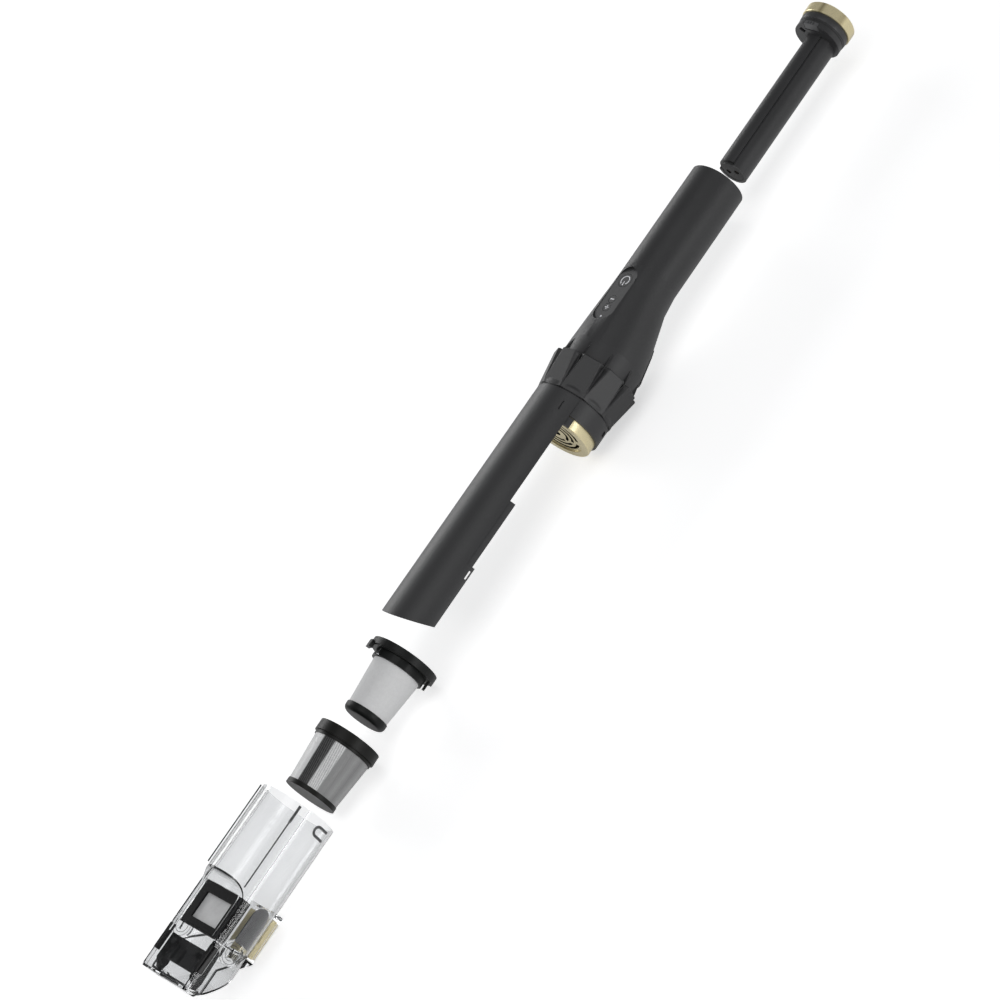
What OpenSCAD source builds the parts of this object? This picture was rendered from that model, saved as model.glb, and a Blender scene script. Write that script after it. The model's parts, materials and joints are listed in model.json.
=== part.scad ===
// Stick-shaped handheld vacuum, shown taken apart along its own axis for cleaning.
// Working axes inside the modules: x to the side, y up towards the control panel,
// z along the body towards the battery, with z = 0 at the face of the motor inlet grille.
// place() lays the finished part down: length on X, side on Y, control panel up on Z.
// Angles round the body (a) are counted from the top towards the user's left.

/* [Body] */
// Outer radius of the motor housing, the cover and the dust cup
body_r = 29.5; // [28:0.5:33]
// Wall of the motor housing, the belly and the handle
housing_wall = 2.3; // [1.8:0.1:2.6]
// Wall of the long cover and of the dust cup
cover_wall = 1.6; // [1.2:0.1:2]
// Gap between pieces that move past each other
gap = 0.3; // [0.2:0.05:0.4]
// Gap between pieces that stay put on each other
seat_gap = 0.1; // [0.05:0.05:0.2]
// Height of the body's axis above the table
rest_r = 34; // [33:0.5:37]

/* [Handle] */
// Outer radius of the round grip
handle_r = 21.3; // [20.5:0.1:23]
// Straight length of the grip above the belly
grip_len = 91.4; // [80:0.2:120]
// Length over which the belly narrows into the grip
flare_len = 66; // [55:1:80]
// Straight part of the belly above the collar
belly_len = 14.7; // [12:0.5:20]

/* [Control panel] */
// Length of the flat panel
panel_len = 47.3; // [44:0.5:56]
// Half width of the flat panel
panel_half_w = 9.2; // [8.8:0.1:9.4]
// Distance from the collar's lower edge to the middle of the panel
panel_at = 82.3; // [78:0.5:90]
// Depth of the panel below the top line of the handle
panel_sunk = 2.1; // [1.9:0.1:2.3]
// Thickness of the panel plate
panel_t = 1; // [0.8:0.1:1]
// Width of the ledge that carries the panel plate
ledge_w = 1.2; // [0.8:0.1:1.5]
// Radius of the power button
power_r = 5.6; // [4.5:0.1:6]
// Radius of the two speed buttons
speed_r = 3.2; // [2.5:0.1:3.2]
// Radius of the charge light
led_r = 0.8; // [0.6:0.1:1.2]
// Distance of the power button from the panel's middle
power_at = 12.6; // [11:0.2:14]
// Distance of the minus button from the panel's middle
minus_at = 4.5; // [3.8:0.1:5]
// Distance between the two speed buttons
speed_pitch = 7.4; // [7.4:0.1:8]
// Distance of the charge light from the panel's middle
led_at = 19.9; // [18.5:0.1:20]
// Travel of each button
button_travel = 0.6; // [0.4:0.1:0.8]
// Thickness of the circuit board
board_t = 1.2; // [1:0.1:1.6]
// Depth of the circuit board below the panel plate
board_drop = 5.4; // [5:0.1:6]

/* [Collar and exhaust] */
// Length of motor housing that shows below the collar
skirt_len = 15.4; // [14:0.2:20]
// Length of the crown collar
collar_len = 28.5; // [24:0.5:34]
// Number of teeth round the collar
tooth_count = 10; // [8:1:12]
// Length of the fins that run up from the collar on to the belly
fin_len = 11.5; // [8:0.5:14]
// Thickness of each fin
fin_t = 1.2; // [0.8:0.1:2]
// Number of slots in the exhaust grille
slot_count = 9; // [5:2:9]
// Width of each exhaust slot
slot_w = 1.8; // [1.4:0.1:2]
// Length of the exhaust grille
grille_len = 27; // [22:1:30]
// Angle that the exhaust grille covers round the underside
grille_span = 104; // [90:2:120]
// Thickness of the foam behind the exhaust grille
foam_t = 2.6; // [2:0.1:3]

/* [Motor] */
// Radius of the gold inlet grille
inlet_r = 27.6; // [27:0.1:27.7]
// Height of the gold band that shows below the housing
inlet_h = 7.4; // [6:0.2:9]
// Radius of the slotted face inside the gold rim
inlet_face_r = 21.6; // [19:0.1:23]
// Thickness of the slotted face
inlet_t = 1.6; // [1.2:0.1:2.4]
// Radius of the motor can
motor_r = 19.5; // [17:0.5:21]
// Length of the motor can
motor_len = 38; // [30:1:44]
// Radius of the fan
fan_r = 19; // [16:0.5:21]
// Height of the fan
fan_h = 12; // [9:0.5:12]
// Number of fan blades
blade_count = 11; // [7:1:13]
// Radius of the motor shaft
shaft_r = 1.5; // [1.2:0.1:2.5]

/* [Cover] */
// Length of the cover from the collar to where its edge drops
cover_upper_len = 90; // [80:1:110]
// Length of the stretch with the thin lower lip
cover_lip_len = 54; // [45:1:70]
// Length of the deep nozzle end, along the top line
cover_nozzle_len = 57.3; // [45:1:75]
// Angle from the top to the cover's edge
cover_edge = 52; // [48:0.5:54]
// Angle from the top to the edge of the thin lip
lip_edge = 61; // [58:0.5:62]
// Angle from the top to the edge of the nozzle end
nozzle_edge = 64.7; // [62.5:0.1:65.5]
// Slant of the nozzle's end from square
nozzle_slant = 24.6; // [0:0.2:35]

/* [Battery pack] */
// Radius of a battery cell
cell_r = 9.2; // [9:0.1:9.6]
// Length of a battery cell
cell_len = 65; // [63:0.5:65.5]
// Radius of the battery tube
stem_r = 11.9; // [11.8:0.1:12]
// Distance of the tube's axis below the grip's axis
stem_drop = 5.2; // [4.9:0.1:5.3]
// Length of the neck that fits the handle's mouth
neck_len = 6.2; // [6:0.1:8]
// Radius of the black ring at its lower edge
cap_ring_r = 19; // [18.5:0.1:19.6]
// Length of the black ring
cap_ring_len = 5.9; // [5.5:0.1:9]
// Radius of the gold ring
cap_r = 20.1; // [19.8:0.1:21]
// Length of the gold ring
cap_len = 8.8; // [7:0.2:12]
// Travel of the release tab
tab_travel = 0.8; // [0.6:0.1:0.9]

/* [Fine filter] */
// Distance of both filters' axis below the body's axis
filter_drop = 3.6; // [2.5:0.1:3.6]
// Radius of the filter flange
flange_r = 25.7; // [25:0.1:25.8]
// Thickness of the filter flange
flange_t = 5.9; // [4:0.1:7]
// Thickness of the step below the flange
step_t = 5.6; // [4:0.1:6.5]
// Radius of the fleece at its wide end
fleece_r = 18.3; // [17:0.1:18.8]
// Radius of the fleece at its narrow end
fleece_tip_r = 15.4; // [13:0.1:15.6]
// Length of the fleece
fleece_len = 35.3; // [28:0.5:35.5]
// Radius of the filter's end cap
end_cap_r = 16.2; // [15.8:0.1:16.6]
// Length of the filter's end cap
end_cap_len = 6; // [4.5:0.1:6.2]

/* [Mesh filter] */
// Radius of the thick top ring
ring_r = 23.6; // [23:0.1:24]
// Thickness of the thick top ring's wall
ring_wall = 2.7; // [2.5:0.1:3.4]
// Length of the thick top ring
ring_len = 7.9; // [7:0.1:10]
// Radius of the thin ring under it
lower_ring_r = 22.3; // [21.9:0.1:22.6]
// Length of the thin ring
lower_ring_len = 2.4; // [1.6:0.1:3]
// Radius of the mesh cone at its wide end
mesh_r = 21.6; // [21.2:0.1:21.8]
// Radius of the mesh cone at its narrow end
mesh_tip_r = 18.9; // [18.6:0.1:19.1]
// Length of the mesh cone
mesh_len = 35; // [34.5:0.5:44]
// Thickness of the mesh
mesh_t = 0.6; // [0.4:0.1:0.8]
// Radius of the mesh filter's base
base_r = 19.4; // [19.3:0.1:20]
// Thickness of the mesh filter's base
base_t = 3.5; // [3.2:0.1:4]
// Number of ribs inside the mesh
rib_count = 4; // [3:1:6]

/* [Dust cup] */
// Thickness of the cup's clear wall
cup_wall = 1.6; // [1.2:0.1:1.8]
// Length of the dust cup
cup_len = 142.6; // [135:0.2:160]
// Length from the rim to the shoulder above the inlet
cup_barrel_len = 65.8; // [62:0.2:80]
// Height of the flat inlet deck above the axis
deck_y = 13; // [12.4:0.1:13]
// Radius of the curve that leads from the shoulder down to the deck
shoulder_r = 12; // [9:0.5:12.5]
// Radius of the rounded nose edge
nose_round = 6; // [4:0.5:8]
// Angle from the top to the edge of the saddle that runs under the cover
saddle_edge = 67; // [66.5:0.5:70]
// Distance from the nose back to where the slanted door meets the underside
door_foot = 31.4; // [28:0.2:34]
// Height above the axis at which the door's slant meets the nose
door_head_y = 4.5; // [3:0.1:6]
// Distance from the nose back to the door's upright seam
door_seam = 41; // [38:0.2:42]
// Distance from the nose back to the end of the level seam
level_seam = 22; // [20:0.2:24]
// Height of the level seam above the axis
seam_y = 1; // [0:0.1:2]
// Radius of the round side bosses
boss_r = 9.2; // [8:0.5:11]
// Radius of the door's hinge pin
door_pin_r = 1; // [0.8:0.1:1.3]

/* [Inlet frame] */
// Width of the black frame in the deck
frame_w = 38; // [34:0.5:40]
// Length of the black frame
frame_len = 31.5; // [28:0.5:32]
// Depth of the frame's side walls
frame_depth = 11.8; // [9:0.2:12.5]
// Thickness of the frame's plate and walls
frame_t = 1.5; // [1.2:0.1:1.8]
// Width of the window
window_w = 28.7; // [24:0.1:28.8]
// Length of the window
window_len = 19; // [16:0.5:22]
// Thickness of the inlet flap
flap_t = 0.8; // [0.6:0.1:1.2]
// Radius of the flap's pin
flap_pin_r = 0.6; // [0.5:0.1:0.8]

/* [Cup latch] */
// Half width of the gold latch
latch_half_w = 12.5; // [9:0.5:13]
// Length of the gold latch
latch_len = 28; // [22:0.5:30]
// Travel of the gold latch
latch_travel = 1.2; // [0.8:0.1:1.4]
// Wall of the pod round the latch
pod_wall = 1.8; // [1.4:0.1:2.4]
// Length of the solid front end of the latch housing
pod_front = 5.1; // [2:0.1:6]

/* [Shown apart] */
// How far the battery pack is pulled out
battery_out = 145.3; // [0.2:0.1:160]
// How far the fine filter is pulled out
filter_out = 193.1; // [185:0.1:215]
// How far the mesh filter is pulled out
mesh_out = 254.3; // [245:0.1:265]
// How far the dust cup is pulled off
cup_out = 314.1; // [308:0.1:330]

/* [Hidden] */
$fn = 96;

// What runs under the cover has this radius
under_cover_r = body_r - cover_wall - gap;
rail_half_a = 6;
rail_a = cover_edge + 3;
rail_r = inlet_r - 1.8;
// Bore of the motor housing's skirt and of the belly
skirt_bore_r = body_r - cover_wall - seat_gap - cover_wall;
belly_bore_r = body_r - housing_wall;
collar_bore_r = body_r - housing_wall / 2;
spigot_r = collar_bore_r - seat_gap;

// Stations along the main body
collar_z = inlet_h + skirt_len;
collar_top_z = collar_z + collar_len;
spigot_z = collar_z + collar_len / 2;
fin_top_z = collar_top_z + fin_len;
flare_z = collar_top_z + belly_len;
grip_z = flare_z + flare_len;
handle_end_z = grip_z + grip_len;
panel_z = collar_z + panel_at;
grille_z = fin_top_z + 1;
cover_lip_z = collar_z - cover_upper_len;
nozzle_z = cover_lip_z - cover_lip_len;
nozzle_tip_z = nozzle_z - cover_nozzle_len;

// The grip lies flush with the top line, so its axis is higher than the body's
grip_y = body_r - handle_r;
stem_y = grip_y - stem_drop;

// The belly narrows into the grip through two stations in between
flare_low_z = flare_z + 0.29 * flare_len;
flare_low_r = body_r - 0.27 * grip_y;
flare_high_z = flare_z + 0.75 * flare_len;
flare_high_r = handle_r + 0.13 * grip_y;
belly_inset = 0.05;
belly_lap = 0.5;

// Control panel heights
panel_y = body_r - panel_sunk;
plate_y = panel_y - panel_t;
board_y = plate_y - board_drop;
pad_t = 1;
button_gap = 0.2;
button_rim = 0.4;
button_rim_t = 0.8;
button_cap_t = 2.8;
button_stem_r = 1.5;
post_r = 1.2;
post_x = 3.5;
post_at = [-17.5, 20.5];
screw_r = 0.6;
screw_head_r = 1.1;
screw_head_t = 0.8;
board_w = 13;
board_len = 46;

// Motor stations
fan_z = inlet_h + 5.2;
motor_z = fan_z + fan_h + 1.4;
shaft_depth = 9;
mount_len = 10;
mount_z = motor_z + motor_len / 2 - mount_len / 2;

// Battery pack, counted from the lower face of its black ring
neck_r = handle_r - housing_wall - gap;
cell_bore_r = cell_r + 0.4;
cell_play = 0.6;
plug_t = 2;
cell_top = cap_ring_len - 2.5;
cell_end = cell_top - 2 * cell_len - cell_play;
stem_end = cell_end - plug_t - 0.4;
cap_floor_z = cap_ring_len + 1.6;
cap_floor_t = 1.2;
groove_a = 37.5;
groove_w = 1.4;
groove_depth = 1;
strip_start_a = -75;
strip_step = 2;
terminal_x = 4;
terminal_r = 2;
tab_a = 14;
tab_w = 12;
tab_len = 3.2;
tab_inner_r = 11;
vent_a = -34;
ring_bore_r = 15.5;
sleeve_bore_r = stem_r + gap;
sleeve_r = handle_r - housing_wall - stem_drop - seat_gap;
sleeve_z = handle_end_z + gap + stem_end - 1.4;
sleeve_end_z = handle_end_z - neck_len - 1.5;
contact_t = 3.5;
contact_pin_r = 1;

// The dust cup's rim closes on the filter flange, which closes on the inlet grille
cup_seat_z = -2 * gap - flange_t;
deck_z = -cup_barrel_len - shoulder_r;
frame_z = -cup_barrel_len - 6.3;
frame_end_z = frame_z - frame_len;
window_x = -2.55;
window_z = frame_z - 7.5;
flap_x = window_x + window_w / 2 + 1.1;
knuckle_r = 1.3;
flap_y = deck_y - frame_t - gap - flap_t;
flap_pin_y = flap_y + flap_t - knuckle_r;
nose_z = -cup_len;
hinge_y = 0.3;
hinge_z = nose_z + 2.7;
eye_r = 2.6;
eye_x = 20;
door_lug_x = 14;
door_lug_w = 5;
bracket_z = frame_end_z - 10;
bracket_y = 7.5;
bracket_len = 17;
bracket_half_w = 19.5;
bracket_t = 1.8;
leg_w = 3.4;
arm_h = 6.5;
arm_rise = 1.2;
slot_depth = 1.2;
bracket_slot_w = 2.8;
pad_z = frame_end_z - 5;
pad_len = 20;
cheek_y = -6;
cheek_r = 8;
cheek_t = 1.2;
hook_len = 12;
pad_x = 22.5;
pad_y = 9;
pod_end_z = nose_z + door_seam + 0.7;
pod_half_w = latch_half_w + gap + pod_wall;
pod_top_y = -22;
pod_round = 2.8;
pod_edge_r = 1.5;
latch_z = pod_end_z + pod_wall + gap;
pod_z = latch_z + latch_len + gap + pod_front;
latch_room_r = body_r + latch_travel + gap;
latch_low_y = -rest_r + 0.5;
spring_r = 2.4;
spring_t = 0.5;

latch_rim = 0.8;
latch_ledge_y = -rest_r + 2.2;
spring_len = 2.9;
boss_z = nose_z + 37;
boss_t = 0.6;
rib_a = 53.5;
door_seal_w = 0.8;
flap_len = window_len + 2;
flap_end_z = window_z - window_len - 1;

// Small features of the two filters and the battery's neck
ring_bore = ring_r - ring_wall;
step_r = ring_bore - 0.7;
fleece_z = -flange_t - step_t - fleece_len;
screw_a = -6;
lug_r = 27.3;
screw_lug_w = 3.8;
screw_lug_len = 4.6;
foot_a = 141;
foot_w = 4;
foot_len = 5.6;
mesh_top_z = -ring_len - lower_ring_len;
mesh_end_z = mesh_top_z - mesh_len;
seal_t = 1.2;
seal_z = -1.9;
seal_len = 1.2;

// Ends of the whole object as it is shown, used to centre it
high_z = handle_end_z + gap + battery_out + cap_ring_len + cap_len;
low_z = cup_seat_z - cup_out - cup_len;
mid_z = (high_z + low_z) / 2;
eps = 0.01;

// ---- Placing ----

module place() translate([-mid_z, 0, rest_r]) rotate([90, 0, 90]) children();

// The parts that come off, each at its own seat and moved out by its own distance
module battery_place() place() translate([0, grip_y, handle_end_z + gap + battery_out]) children();
module filter_place() place() translate([0, -filter_drop, -gap - filter_out]) children();
module mesh_place() place() translate([0, -filter_drop, cup_seat_z - mesh_out]) children();
module cup_place() place() translate([0, 0, cup_seat_z - cup_out]) children();

// ---- Shared shapes ----

module rod(r, z0, z1) translate([0, 0, z0]) cylinder(r = r, h = z1 - z0);

module pipe(r_out, r_in, z0, z1) {
    difference() {
        rod(r_out, z0, z1);
        rod(r_in, z0 - 1, z1 + 1);
    }
}

// A slice of a round body between two angles from the top
module slice(a0, a1, z0, z1, reach = 60) {
    steps = ceil((a1 - a0) / 30);
    rim = [for (i = [0 : steps]) let (a = a0 + (a1 - a0) * i / steps) [-reach * sin(a), reach * cos(a)]];
    translate([0, 0, z0]) linear_extrude(z1 - z0) polygon(concat([[0, 0]], rim));
}

// A box that points outwards at angle a, from radius r0 to r1
module spoke(a, r0, r1, w, z0, z1) {
    rotate([0, 0, a]) translate([-w / 2, r0, z0]) cube([w, r1 - r0, z1 - z0]);
}

// A shape drawn in x and z, pushed down from height y
module pressed_down(y, z, depth) translate([0, y, z]) rotate([90, 0, 0]) linear_extrude(depth) children();

// A shape drawn in y and z, given a width across x
module across(w) rotate([90, 0, 90]) translate([0, 0, -w / 2]) linear_extrude(w) children();

// A slot outline with round ends, its length along z
module pill(half_w, len) {
    square([2 * half_w, len - 2 * half_w], center = true);
    for (s = [-1, 1]) translate([0, s * (len / 2 - half_w)]) circle(r = half_w);
}

// ---- Main body ----

// Thin slab of the belly, always flush with the top line
module belly_slab(z, r, grow) translate([0, body_r - r, z])
    cylinder(r = r + grow - belly_inset, h = eps, $fn = 64);

// The belly's outline, grown or shrunk all round; its ends lie just inside the round body and grip
module belly_form(grow) {
    hull() {
        belly_slab(flare_z - belly_lap, body_r, grow);
        belly_slab(flare_low_z, flare_low_r, grow);
    }
    hull() {
        belly_slab(flare_low_z, flare_low_r, grow);
        belly_slab(flare_high_z, flare_high_r, grow);
    }
    hull() {
        belly_slab(flare_high_z, flare_high_r, grow);
        belly_slab(grip_z + belly_lap, handle_r, grow);
    }
}

module panel_opening() {
    pressed_down(body_r + 1, panel_z, panel_sunk + panel_t + 1) pill(panel_half_w, panel_len);
    pressed_down(body_r + 1, panel_z, 12) pill(panel_half_w - ledge_w, panel_len - 2 * ledge_w);
}

module handle_housing() color([0.17, 0.17, 0.18]) place() difference() {
    union() {
        rod(spigot_r, spigot_z + gap, collar_top_z + eps);
        rod(body_r, collar_top_z, flare_z);
        belly_form(0);
        translate([0, grip_y, 0]) rod(handle_r, grip_z, handle_end_z);
    }
    rod(belly_bore_r, spigot_z - 1, flare_z);
    belly_form(-housing_wall);
    translate([0, grip_y, 0]) rod(handle_r - housing_wall, grip_z, handle_end_z + 1);
    panel_opening();
    slice(180 - grille_span / 2, 180 + grille_span / 2, grille_z, grille_z + grille_len);
}

module motor_housing() color([0.16, 0.16, 0.17]) place() difference() {
    rotate_extrude() polygon([[skirt_bore_r, inlet_h], [body_r, inlet_h], [body_r, collar_z],
        [spigot_r, collar_z], [spigot_r, spigot_z], [belly_bore_r, spigot_z],
        [belly_bore_r, collar_z], [skirt_bore_r, collar_z]]);
    difference() {
        slice(-cover_edge - 0.4, cover_edge + 0.4, inlet_h - 1, collar_z);
        rod(body_r - cover_wall - seat_gap, inlet_h - 2, collar_z + 1);
    }
    spoke(122, body_r - 1.2, body_r + 2, 5, inlet_h + 7, inlet_h + 11);
    spoke(-122, body_r - 1.2, body_r + 2, 5, inlet_h + 7, inlet_h + 11);
}

// One tooth: almost flush at its lower end, proud and narrower at its upper end
module tooth() {
    pitch = 180 / tooth_count;
    foot_x = body_r * sin(pitch);
    foot_y = collar_bore_r * cos(pitch);
    intersection() {
        across(3 * foot_x) polygon([[foot_y, collar_z + 1], [body_r - 0.5, collar_z + 1],
            [rest_r, collar_top_z - 0.3], [foot_y, collar_top_z - 0.3]]);
        pressed_down(rest_r + 1, 0, rest_r) polygon([[-0.87 * foot_x, collar_z], [0.87 * foot_x, collar_z],
            [0.55 * foot_x, collar_top_z], [-0.55 * foot_x, collar_top_z]]);
        translate([0, 0, collar_z]) linear_extrude(collar_len) polygon([[-foot_x, foot_y],
            [-0.62 * foot_x, rest_r + 1], [0.62 * foot_x, rest_r + 1], [foot_x, foot_y]]);
    }
}

module crown_collar() color([0.2, 0.2, 0.21]) place() {
    difference() {
        union() {
            rod(body_r, collar_z, collar_top_z);
            for (i = [0 : tooth_count - 1]) rotate([0, 0, i * 360 / tooth_count]) tooth();
        }
        rod(collar_bore_r, collar_z - 1, collar_top_z + 1);
    }
    for (i = [0 : tooth_count - 1]) rotate([0, 0, (i + 0.5) * 360 / tooth_count]) across(fin_t)
        polygon([[body_r - 0.5, collar_top_z - 9], [body_r + 2.6, collar_top_z - 2],
            [body_r + 2.6, collar_top_z], [body_r + 0.6, fin_top_z], [body_r + 0.05, fin_top_z],
            [body_r + 0.05, collar_top_z], [body_r - 0.5, collar_top_z]]);
}

module spine_cover() color([0.17, 0.17, 0.18]) place() difference() {
    union() {
        intersection() {
            pipe(body_r, body_r - cover_wall, nozzle_tip_z, collar_z);
            union() {
                slice(-cover_edge, cover_edge, nozzle_tip_z - 1, collar_z + 1);
                slice(-nozzle_edge, nozzle_edge, nozzle_tip_z - 1, nozzle_z);
                intersection() {
                    slice(-lip_edge, lip_edge, nozzle_z - 1, cover_lip_z);
                    rod(body_r - cover_wall / 2, nozzle_z - 1, cover_lip_z);
                }
            }
        }
        // Rails beside the gold band, under the cover's two edges
        for (s = [-1, 1]) intersection() {
            pipe(body_r - cover_wall + gap, rail_r, 0.2, inlet_h - gap);
            rotate([0, 0, s * rail_a]) slice(-rail_half_a, rail_half_a, 0, inlet_h);
        }
    }
    // Slanted end, longest along the top line
    across(3 * body_r) polygon([[body_r, nozzle_tip_z],
        [-body_r, nozzle_tip_z + 2 * body_r * tan(nozzle_slant)], [-body_r, nozzle_tip_z - 5],
        [body_r + 5, nozzle_tip_z - 5], [body_r + 5, nozzle_tip_z]]);
    // Narrow marks beside the collar and catch slots at the start of the nozzle
    for (s = [-1, 1]) {
        spoke(s * 34.5, body_r - 0.7, body_r + 1, 0.9, inlet_h - 0.4, inlet_h + 7);
        spoke(s * 61.5, body_r - 3, body_r + 1, 1.4, nozzle_z - 10, nozzle_z - 3);
    }
}

module inlet_grille() color([0.8, 0.72, 0.48]) place() difference() {
    rotate_extrude() polygon([[0, 1], [inlet_face_r, 1], [inlet_face_r, 0], [inlet_r - 0.6, 0],
        [inlet_r, 0.6], [inlet_r, inlet_h], [skirt_bore_r - seat_gap, inlet_h],
        [skirt_bore_r - seat_gap, inlet_h + 4], [skirt_bore_r - 1.8, inlet_h + 4],
        [skirt_bore_r - 1.8, 1 + inlet_t], [0, 1 + inlet_t]]);
    // Three broken rings of slots
    for (k = [0 : 2], i = [0 : 2]) intersection() {
        pipe(inlet_face_r - 2.6 - 4.4 * k, inlet_face_r - 5 - 4.4 * k, 0, 2 + inlet_t);
        slice(i * 120 + 8 + 20 * k, i * 120 + 112 + 20 * k, 0, 2 + inlet_t);
    }
    rod(3.2, 0, 2 + inlet_t);
    // Grooves for the cover's two rails
    for (s = [-1, 1]) intersection() {
        pipe(inlet_r + 1, rail_r - gap, -1, inlet_h - seat_gap);
        rotate([0, 0, s * rail_a]) slice(-rail_half_a - 0.7, rail_half_a + 0.7, -1, inlet_h);
    }
}

module motor_can() color([0.62, 0.63, 0.65]) place() difference() {
    union() {
        rod(motor_r, motor_z, motor_z + motor_len);
        rod(motor_r * 0.45, motor_z + motor_len - eps, motor_z + motor_len + 3);
    }
    rod(shaft_r + 0.05, motor_z - 1, motor_z + shaft_depth);
}

module motor_mount() color([0.12, 0.12, 0.12]) place() difference() {
    pipe(belly_bore_r - seat_gap, motor_r + 0.05, mount_z, mount_z + mount_len);
    for (i = [0 : 11]) rotate([0, 0, 15 + i * 30])
        translate([0, (motor_r + belly_bore_r) / 2, 0]) rod(2.2, mount_z - 1, mount_z + mount_len + 1);
}

module impeller() color([0.35, 0.36, 0.38]) place() difference() {
    union() {
        rod(fan_r * 0.3, fan_z, fan_z + fan_h);
        rod(fan_r, fan_z + fan_h - 1.2, fan_z + fan_h);
        intersection() {
            rod(fan_r, fan_z, fan_z + fan_h);
            for (i = [0 : blade_count - 1]) rotate([0, 0, i * 360 / blade_count])
                translate([fan_r * 0.16, 0, fan_z + 1]) rotate([0, 0, 32])
                    cube([1, fan_r * 1.1, fan_h - 1.1]);
        }
    }
    rod(shaft_r, fan_z - 1, fan_z + fan_h + 1);
}

module motor_shaft() color([0.75, 0.76, 0.78]) place() rod(shaft_r, fan_z - 1, motor_z + shaft_depth - 0.5);

// Skin of the belly between two offsets, over the exhaust opening
module belly_skin(outer, inner, z0, z1, half_span) intersection() {
    difference() {
        union() {
            rod(body_r + outer, z0 - 1, flare_z);
            belly_form(outer);
        }
        rod(body_r + inner, z0 - 2, flare_z);
        belly_form(inner);
    }
    slice(180 - half_span, 180 + half_span, z0, z1);
}

module exhaust_grille() color([0.14, 0.14, 0.15]) place() difference() {
    belly_skin(0.5, -housing_wall, grille_z + 0.15, grille_z + grille_len - 0.15, grille_span / 2 - 0.3);
    pitch = (grille_span - 12) / slot_count;
    for (i = [0 : slot_count - 1])
        spoke(180 + (i - (slot_count - 1) / 2) * pitch, 12, body_r + 3, slot_w,
            grille_z + 2.5, grille_z + grille_len - 2.5);
}

module exhaust_foam() color([0.3, 0.3, 0.3]) place()
    belly_skin(-housing_wall - seat_gap, -housing_wall - foam_t, grille_z, grille_z + grille_len,
        grille_span / 2);

// ---- Control panel ----

module button_hole(r, at) pressed_down(panel_y + 1, panel_z + at, 12) circle(r = r);

module panel_plate() color([0.22, 0.22, 0.23]) place() difference() {
    union() {
        pressed_down(panel_y, panel_z, panel_t) pill(panel_half_w - seat_gap, panel_len - 2 * seat_gap);
        for (s = [-1, 1], at = post_at) translate([s * post_x, 0, at])
            pressed_down(plate_y + eps, panel_z, board_drop + eps) circle(r = post_r);
    }
    button_hole(power_r + button_gap, power_at);
    button_hole(speed_r + button_gap, -minus_at);
    button_hole(speed_r + button_gap, -minus_at - speed_pitch);
    button_hole(led_r + 0.05, -led_at);
    for (s = [-1, 1], at = post_at) translate([s * post_x, 0, at])
        pressed_down(plate_y - 1, panel_z, 12) circle(r = screw_r);
}

// A button held under the plate by its rim, with a stem towards the pad
module button(r, at) {
    pressed_down(panel_y, panel_z + at, button_cap_t) circle(r = r);
    pressed_down(plate_y - gap, panel_z + at, button_rim_t) circle(r = r + button_rim);
    pressed_down(panel_y - 1, panel_z + at, panel_y - 1 - board_y - pad_t - button_travel - seat_gap)
        circle(r = button_stem_r);
}

module power_button() color([0.24, 0.24, 0.25]) place() button(power_r, power_at);
module minus_button() color([0.24, 0.24, 0.25]) place() button(speed_r, -minus_at);
module plus_button() color([0.24, 0.24, 0.25]) place() button(speed_r, -minus_at - speed_pitch);

module charge_light() color([0.95, 0.95, 0.95]) place()
    pressed_down(panel_y, panel_z - led_at, panel_y - board_y) circle(r = led_r);

module control_board() color([0.1, 0.35, 0.2]) place() difference() {
    pressed_down(board_y, panel_z, board_t) square([board_w, board_len], center = true);
    for (s = [-1, 1], at = post_at) translate([s * post_x, 0, at])
        pressed_down(board_y + 1, panel_z, board_t + 2) circle(r = screw_r + 0.1);
}

module button_pad() color([0.5, 0.5, 0.5]) place()
    pressed_down(board_y + pad_t, panel_z + 1.5, pad_t) square([board_w - 3, board_len - 14], center = true);

module board_screws() color([0.7, 0.7, 0.72]) place()
    for (s = [-1, 1], at = post_at) translate([s * post_x, 0, at]) {
        pressed_down(board_y + 2.5, panel_z, 2.5 + board_t + eps) circle(r = screw_r);
        pressed_down(board_y - board_t, panel_z, screw_head_t) circle(r = screw_head_r);
    }

// ---- Inside the handle ----

module battery_sleeve() color([0.3, 0.3, 0.32]) place() translate([0, stem_y, 0]) {
    pipe(sleeve_r, sleeve_bore_r, sleeve_z, sleeve_end_z);
    // Key that runs in the battery tube's groove
    spoke(groove_a, sleeve_bore_r - gap - groove_depth + 0.4, sleeve_bore_r + 0.5, groove_w - 2 * gap,
        sleeve_z + 20, sleeve_end_z);
}

module battery_contacts() color([0.25, 0.25, 0.26]) place() translate([0, stem_y, 0]) {
    rod(sleeve_r, sleeve_z - contact_t - seat_gap, sleeve_z - seat_gap);
    for (s = [-1, 1]) translate([s * terminal_x, 0, 0])
        rod(contact_pin_r, sleeve_z - seat_gap - eps, handle_end_z + gap + stem_end - gap);
}

// ---- Battery pack ----

// The stem hangs lower than the ring and cap so that it fits along the handle's floor
module stem_place() battery_place() translate([0, -stem_drop, 0]) children();

module battery_tube() color([0.15, 0.15, 0.16]) stem_place() difference() {
    union() {
        rod(stem_r, stem_end, -neck_len);
        rod(cell_bore_r + 1, -neck_len - eps, -neck_len + 4);
    }
    rod(cell_bore_r, stem_end - 1, -neck_len + 5);
    spoke(groove_a, stem_r - groove_depth, stem_r + 1, groove_w, stem_end - 1, -neck_len + eps);
    slice(strip_start_a, groove_a, stem_end - 1, stem_end + strip_step);
}

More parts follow.
